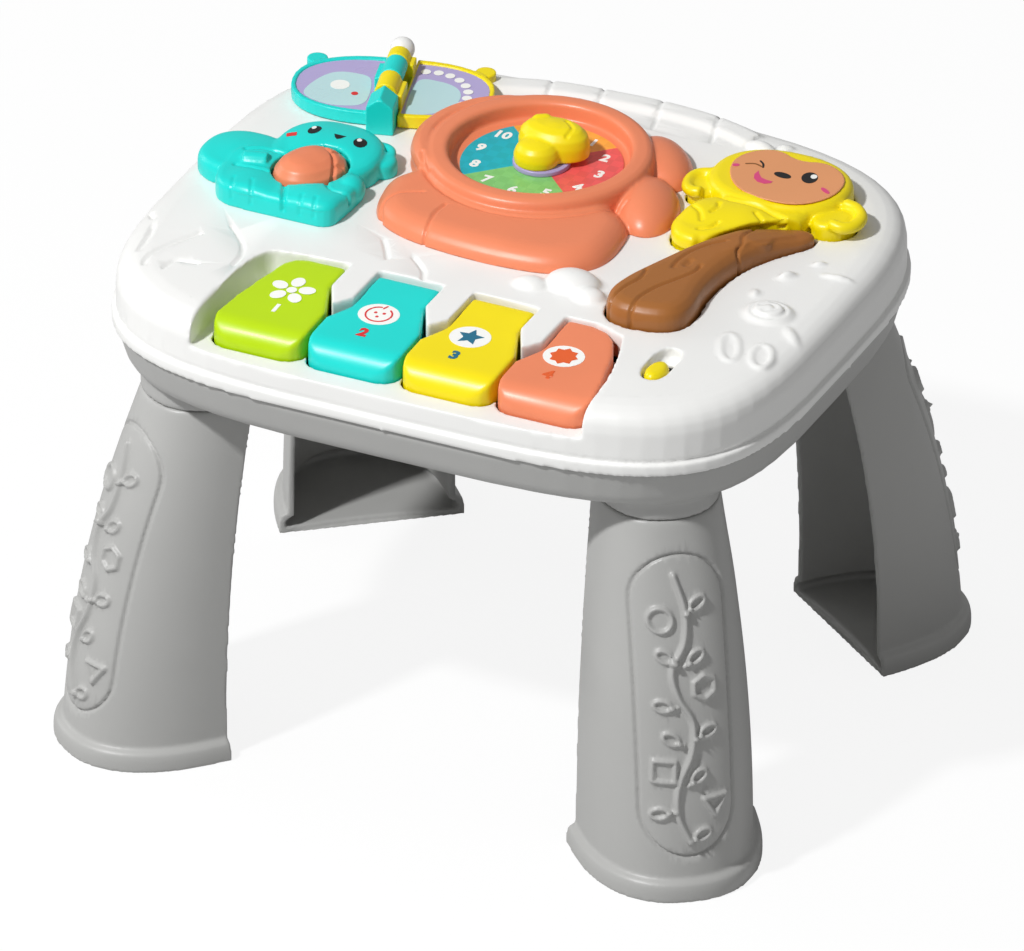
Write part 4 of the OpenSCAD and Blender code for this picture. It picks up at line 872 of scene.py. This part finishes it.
squirrel = cast("moulded_squirrel", [copy_of("squirrel_body"), lump(*paw), bar(ear, 2.1), bar(arm, 4.4)],
                voxel=0.65, passes=7)
press(squirrel, [head], half_width=22, depth=-3.2)
press(squirrel, [brush], half_width=17, depth=-1.8)
press(squirrel, feet, half_width=12, depth=-1.6)
press(squirrel, [flowing(belly)], half_width=1.5, depth=1.6, least=0.0)
press(squirrel, toes, half_width=1.2, depth=0.5, least=0.0)
press(squirrel, [flowing(paw_fold), paw_tip], half_width=1.3, depth=1.6, least=0.0)
press(squirrel, [flowing(line) for line in arm_folds], half_width=1.6, depth=1.2)
keep(squirrel, "table", "teal", "squirrel_body", most=120000)

# %% [markdown]
# ## Squirrel's face
# Two dark eyes with white glints, a small nose and one red cheek mark are printed on the head.

# %% Squirrel's face
eyes = [oval(-111, 22.5, 2.8, 3.9, -8), oval(-87.5, 21, 3.1, 3.8, 8)]
nose = [(-101.2, 22.6), (-95, 22.6), (-96.5, 19.9), (-98, 18.6), (-99.6, 19.9)]
glints = [oval(-112, 24.2, 1.1, 1.4), oval(-88.6, 22.6, 1.1, 1.4)]
blush = [(-122.6, 17.6), (-118, 19), (-117, 16), (-121.4, 14.6)]
second_ink = 2.6
printed("squirrel_dark", [outline(shape) for shape in eyes + [nose]], squirrel, "ink_black", "table")
printed("squirrel_glints", [outline(shape) for shape in glints], squirrel, "ink_white", "table", second_ink)
printed("squirrel_blush", [outline(blush)], squirrel, "ink_red", "table")

# %% [markdown]
# ## Acorn
# The acorn button swells in the middle. The edge of its cap is a pressed line, and three short strokes mark
# the scales of the cap.

# %% Acorn
acorn_middle = [(-102.5, -8), (-100.5, -2)]
cap_edge = [(-114, 6), (-106, 8.6), (-98, 6.6), (-91.4, 1), (-87.4, -7), (-85, -16)]
scales = [[(-100, 13.6), (-99, 9.4)], [(-91.6, 9.6), (-93.4, 5.4)], [(-86, 0), (-88.6, -3)]]
acorn = cast("moulded_acorn", [copy_of("acorn_button")], voxel=0.5, passes=8)
press(acorn, [acorn_middle], half_width=13, depth=-2.6)
press(acorn, [flowing(cap_edge)], half_width=1.4, depth=1.3, least=0.0)
press(acorn, scales, half_width=1.2, depth=0.9, least=0.0)
keep(acorn, "acorn", "coral", "acorn_button", most=60000)

# %% [markdown]
# ## Monkey
# The whole monkey is one big button. Its ears stand out as open rings above the table, so that they clear it
# when the button goes down, and a mound gives it its chest.

# %% Monkey
left_ear = [(63, 74, 239), (57, 71, 238.5), (56, 63, 238), (61, 56, 238.5), (66, 56, 239)]
right_ear = [(129, 73, 239.5), (136, 71, 239), (141, 62, 238.5), (137, 54, 238.5), (130, 54, 239)]
chest = [(66, 34), (65, 25), (71, 16), (79, 13.4), (82.6, 15.2), (90.6, 27.4), (100.8, 40.4), (117, 51.4),
         (116, 60), (96, 60), (76, 52)]
breast = [(76, 40), (90, 44)]
folds = [[(70, 38), (75, 34), (78, 29)], [(80, 44), (81, 40), (80, 36)], [(86, 30), (84, 25), (80, 22)],
         [(98, 44), (103, 40), (106, 36)]]
chin = [(72, 54), (84, 50), (98, 50), (110, 47)]

monkey = cast("moulded_monkey", [copy_of("monkey_button"), bar(left_ear, 2.9), bar(right_ear, 3.0),
                                 mound(flowing(chest, True), low=233.5, high=240.6, edge=4.5, inset=3.5)],
              voxel=0.75, passes=8)
press(monkey, [breast], half_width=16, depth=-2.2)
press(monkey, [flowing(line) for line in folds], half_width=1.4, depth=1.3, least=0.0)
press(monkey, [flowing(chin)], half_width=2.2, depth=1.6, least=0.0)
keep(monkey, "monkey", "yellow", "monkey_button", most=120000)

# %% [markdown]
# ## Monkey's face
# The tan panel is a piece of its own, and the winking face is printed on it: an open eye with a glint, a
# wink of two strokes, a small nose, a pink mouth and two pink cheek marks.

# %% Monkey's face
open_eye, small_nose = oval(107.8, 81, 3.7, 5.0, 18), oval(95.8, 78, 4.3, 2.3, -8)
upper_lid, lower_lid = [(81.2, 86), (83.6, 83.8), (84.9, 80.8)], [(76.4, 80.8), (80.2, 82.4), (84.2, 81.2)]
mouth = [(84.3, 77.2), (83.9, 73.5), (85.2, 70), (88, 67.7), (91.5, 67.3), (94, 69), (94.2, 70.8), (91, 71),
         (88, 72), (85.8, 74.6)]
cheeks = [oval(72.8, 77.8, 1.7, 1.3, 35), oval(119, 73.2, 3.2, 1.2, -35)]

face = cast("moulded_face", [copy_of("monkey_face")], voxel=0.35, passes=5)
keep(face, "monkey", "tan", "monkey_face", most=50000)
dark = [outline(open_eye), outline(small_nose), stroke(upper_lid, 1.0)]
printed("monkey_dark", dark, face, "ink_black", "monkey")
printed("monkey_glint", [outline(oval(109.2, 82.6, 1.5, 1.9, 20))], face, "ink_white", "monkey", second_ink)
printed("monkey_wink", [stroke(lower_lid, 0.9)], face, "ink_brown", "monkey")
printed("monkey_mouth", [outline(shape) for shape in [mouth] + cheeks], face, "ink_pink", "monkey")

# %% [markdown]
# ## Log
# The log is a long brown button. It gets lower towards its far end, and its bark lines curl like a knot.

# %% Log
along_log = (0.6, 0.8, 0)
slope_start, slope_length = 80, 24
flatter, flatter_at_end = 0.12, 0.4
bark = [[(97, 15), (91.4, 8.6), (86.3, -1.6), (84.8, -11.6), (85.3, -17.5)],
        [(96.1, -10.8), (95.7, -17.2), (91.2, -27.1), (86.1, -37.2), (83.4, -47.7), (83, -60)],
        [(74.9, -22.8), (76.3, -32.2), (73.6, -41.1), (71.9, -49.6), (70, -60)],
        [(101, 42), (102.2, 31), (101.9, 22), (104.5, 15.2), (105, 9), (112, 2)]]
knot_hole = [(90, -13), (90, -9)]

log = cast("moulded_log", [copy_of("log_button")], voxel=0.75, passes=9)
places, _ = skin(log)
far = np.clip((places @ along_log - slope_start) / slope_length, 0, 1)
high = np.maximum(places[:, 2] - top_z, 0)
places[:, 2] -= high * (flatter + flatter_at_end * far)
move_skin(log, places)
press(log, [flowing(line) for line in bark], half_width=1.1, depth=1.3, least=-0.2)
press(log, [knot_hole], half_width=2.4, depth=0.9)
keep(log, "log", "brown", "log_button", most=90000)

# %% [markdown]
# ## Flip book
# Two round pages turn on one pin, between a teal front post and a white one that belongs to the top. They are
# thin, so they are cast with fine voxels and keep crisp but rounded edges.

# %% Book
for name, body, slot in (("left_page", "left_page", "teal"), ("right_page", "right_page", "yellow"),
                         ("book_front_post", "table", "teal")):
    book_part = cast("moulded_" + name, [copy_of(name)], voxel=0.45, passes=5)
    keep(book_part, body, slot, name, most=90000)

# %% [markdown]
# ## Pictures in the book
# The cards in the pages carry plain shapes: a pale hill with a sun on one, and a pale pond with a row of dots
# on the other. They are drawn square to the book, in steps across and along its pin.

# %% Pictures in the book
book_x, book_y, book_turn = -97, 67, math.radians(15)


def on_book(across, along):
    return (book_x + across * math.cos(book_turn) - along * math.sin(book_turn),
            book_y + across * math.sin(book_turn) + along * math.cos(book_turn))


hill = [(-39, 8), (-36, 20), (-29, 29), (-19, 30), (-11, 25), (-10, 4), (-20, -1), (-31, 1)]
pond = [(10, 27), (20, 29), (29, 24), (32, 15), (29, 4), (20, -2), (10, -3)]
dots_across, dots_along, dots_round, dot_radius = 15, 17, 20, 2.3
for side, shape in (("left", hill), ("right", pond)):
    placed = [on_book(across, along) for across, along in flowing(shape, True)]
    printed(side + "_page_scene", [outline(placed[:-1])], nodes[side + "_page_card"], "ink_pale",
            side + "_page")
printed("left_page_sun", [outline(oval(*on_book(-24, 18), 4.4, 4.4))], nodes["left_page_card"], "ink_white",
        "left_page", second_ink)
printed("left_page_berry", [outline(oval(*on_book(-16, 11), 1.6, 1.6))], nodes["left_page_card"], "ink_red",
        "left_page", second_ink)
dots = [on_book(dots_across + dots_round * math.cos(a), dots_along + dots_round * math.sin(a))
        for a in np.radians(range(-38, 100, 17))]
printed("right_page_dots", [outline(oval(x, y, dot_radius, dot_radius)) for x, y in dots],
        nodes["right_page_card"], "ink_white", "right_page", second_ink)

# %% [markdown]
# ## Switch
# The switch knob is a small ribbed slider, so it is cast with fine voxels.

# %% Switch
switch = cast("moulded_switch", [copy_of("switch_knob")], voxel=0.35, passes=7)
keep(switch, "switch", "yellow", "switch_knob", most=20000)

# %% [markdown]
# ## Motifs for the keys
# Each key has a plain motif of its own: a flower, a round berry, a star and a sun. They are made from ovals,
# strokes and stars, so a child can tell the keys apart and nothing has to be read.

# %% Motifs
def star(x, y, large, small, points=5):
    return [(x + r * math.sin(a), y + r * math.cos(a)) for r, a in
            zip([large, small] * points, np.linspace(0, math.tau, 2 * points, endpoint=False))]


def open_ring(x, y, r):
    return stroke([(x + r * math.cos(a), y + r * math.sin(a)) for a in np.radians(range(100, 435, 24))], 0.8)


def motif(kind, x, y):
    if kind == "flower":
        petals = [outline(oval(x + 7 * math.cos(a), y + 7 * math.sin(a), 3.9, 3.1, math.degrees(a)))
                  for a in np.radians(range(18, 378, 72))]
        return petals + [outline(oval(x, y, 2.4, 2.4))]
    if kind == "berry":
        return [open_ring(x, y, 6), outline(oval(x - 2, y + 1, 0.8, 0.8)),
                outline(oval(x + 2, y + 1.4, 0.8, 0.8)), outline(oval(x, y - 2, 0.8, 0.8)),
                stroke([(x, y + 5), (x + 1, y + 7.4)], 0.8)]
    if kind == "star":
        return [outline(star(x, y, 6.4, 3.1))]
    return [outline(star(x, y, 6.8, 5.2, 8))]


# %% [markdown]
# ## Stickers on the keys
# Three keys carry a white oval sticker under the motif, and the flower stands on the bare key. The numbers 1
# to 4 stand in front of the motifs. All of it rides on its key.

# %% Stickers
stickers = [("lime", -69, -89, "flower", "ink_white"), ("teal", -24.5, -92, "berry", "ink_red"),
            ("yellow", 21, -93, "star", "ink_blue"), ("coral", 66, -91, "sun", "ink_orange")]
sticker_wide, sticker_long = 9.6, 8.6
number_below, number_size, number_bold = 16.5, 8.5, 1.0
for number, (colour, x, y, kind, ink) in enumerate(stickers, 1):
    piano_key = bpy.data.objects[colour + "_key_moulded"]
    body = colour + "_key"
    if kind != "flower":
        sticker = outline(oval(x, y, sticker_wide, sticker_long))
        printed(colour + "_sticker", [sticker], piano_key, "ink_white", body)
    printed(colour + "_motif", motif(kind, x, y), piano_key, ink, body, second_ink)
    digit = words(str(number), x, y - number_below, number_size, number_bold)
    printed(colour + "_number", [digit], piano_key, ink, body)

# %% Finish
clear()
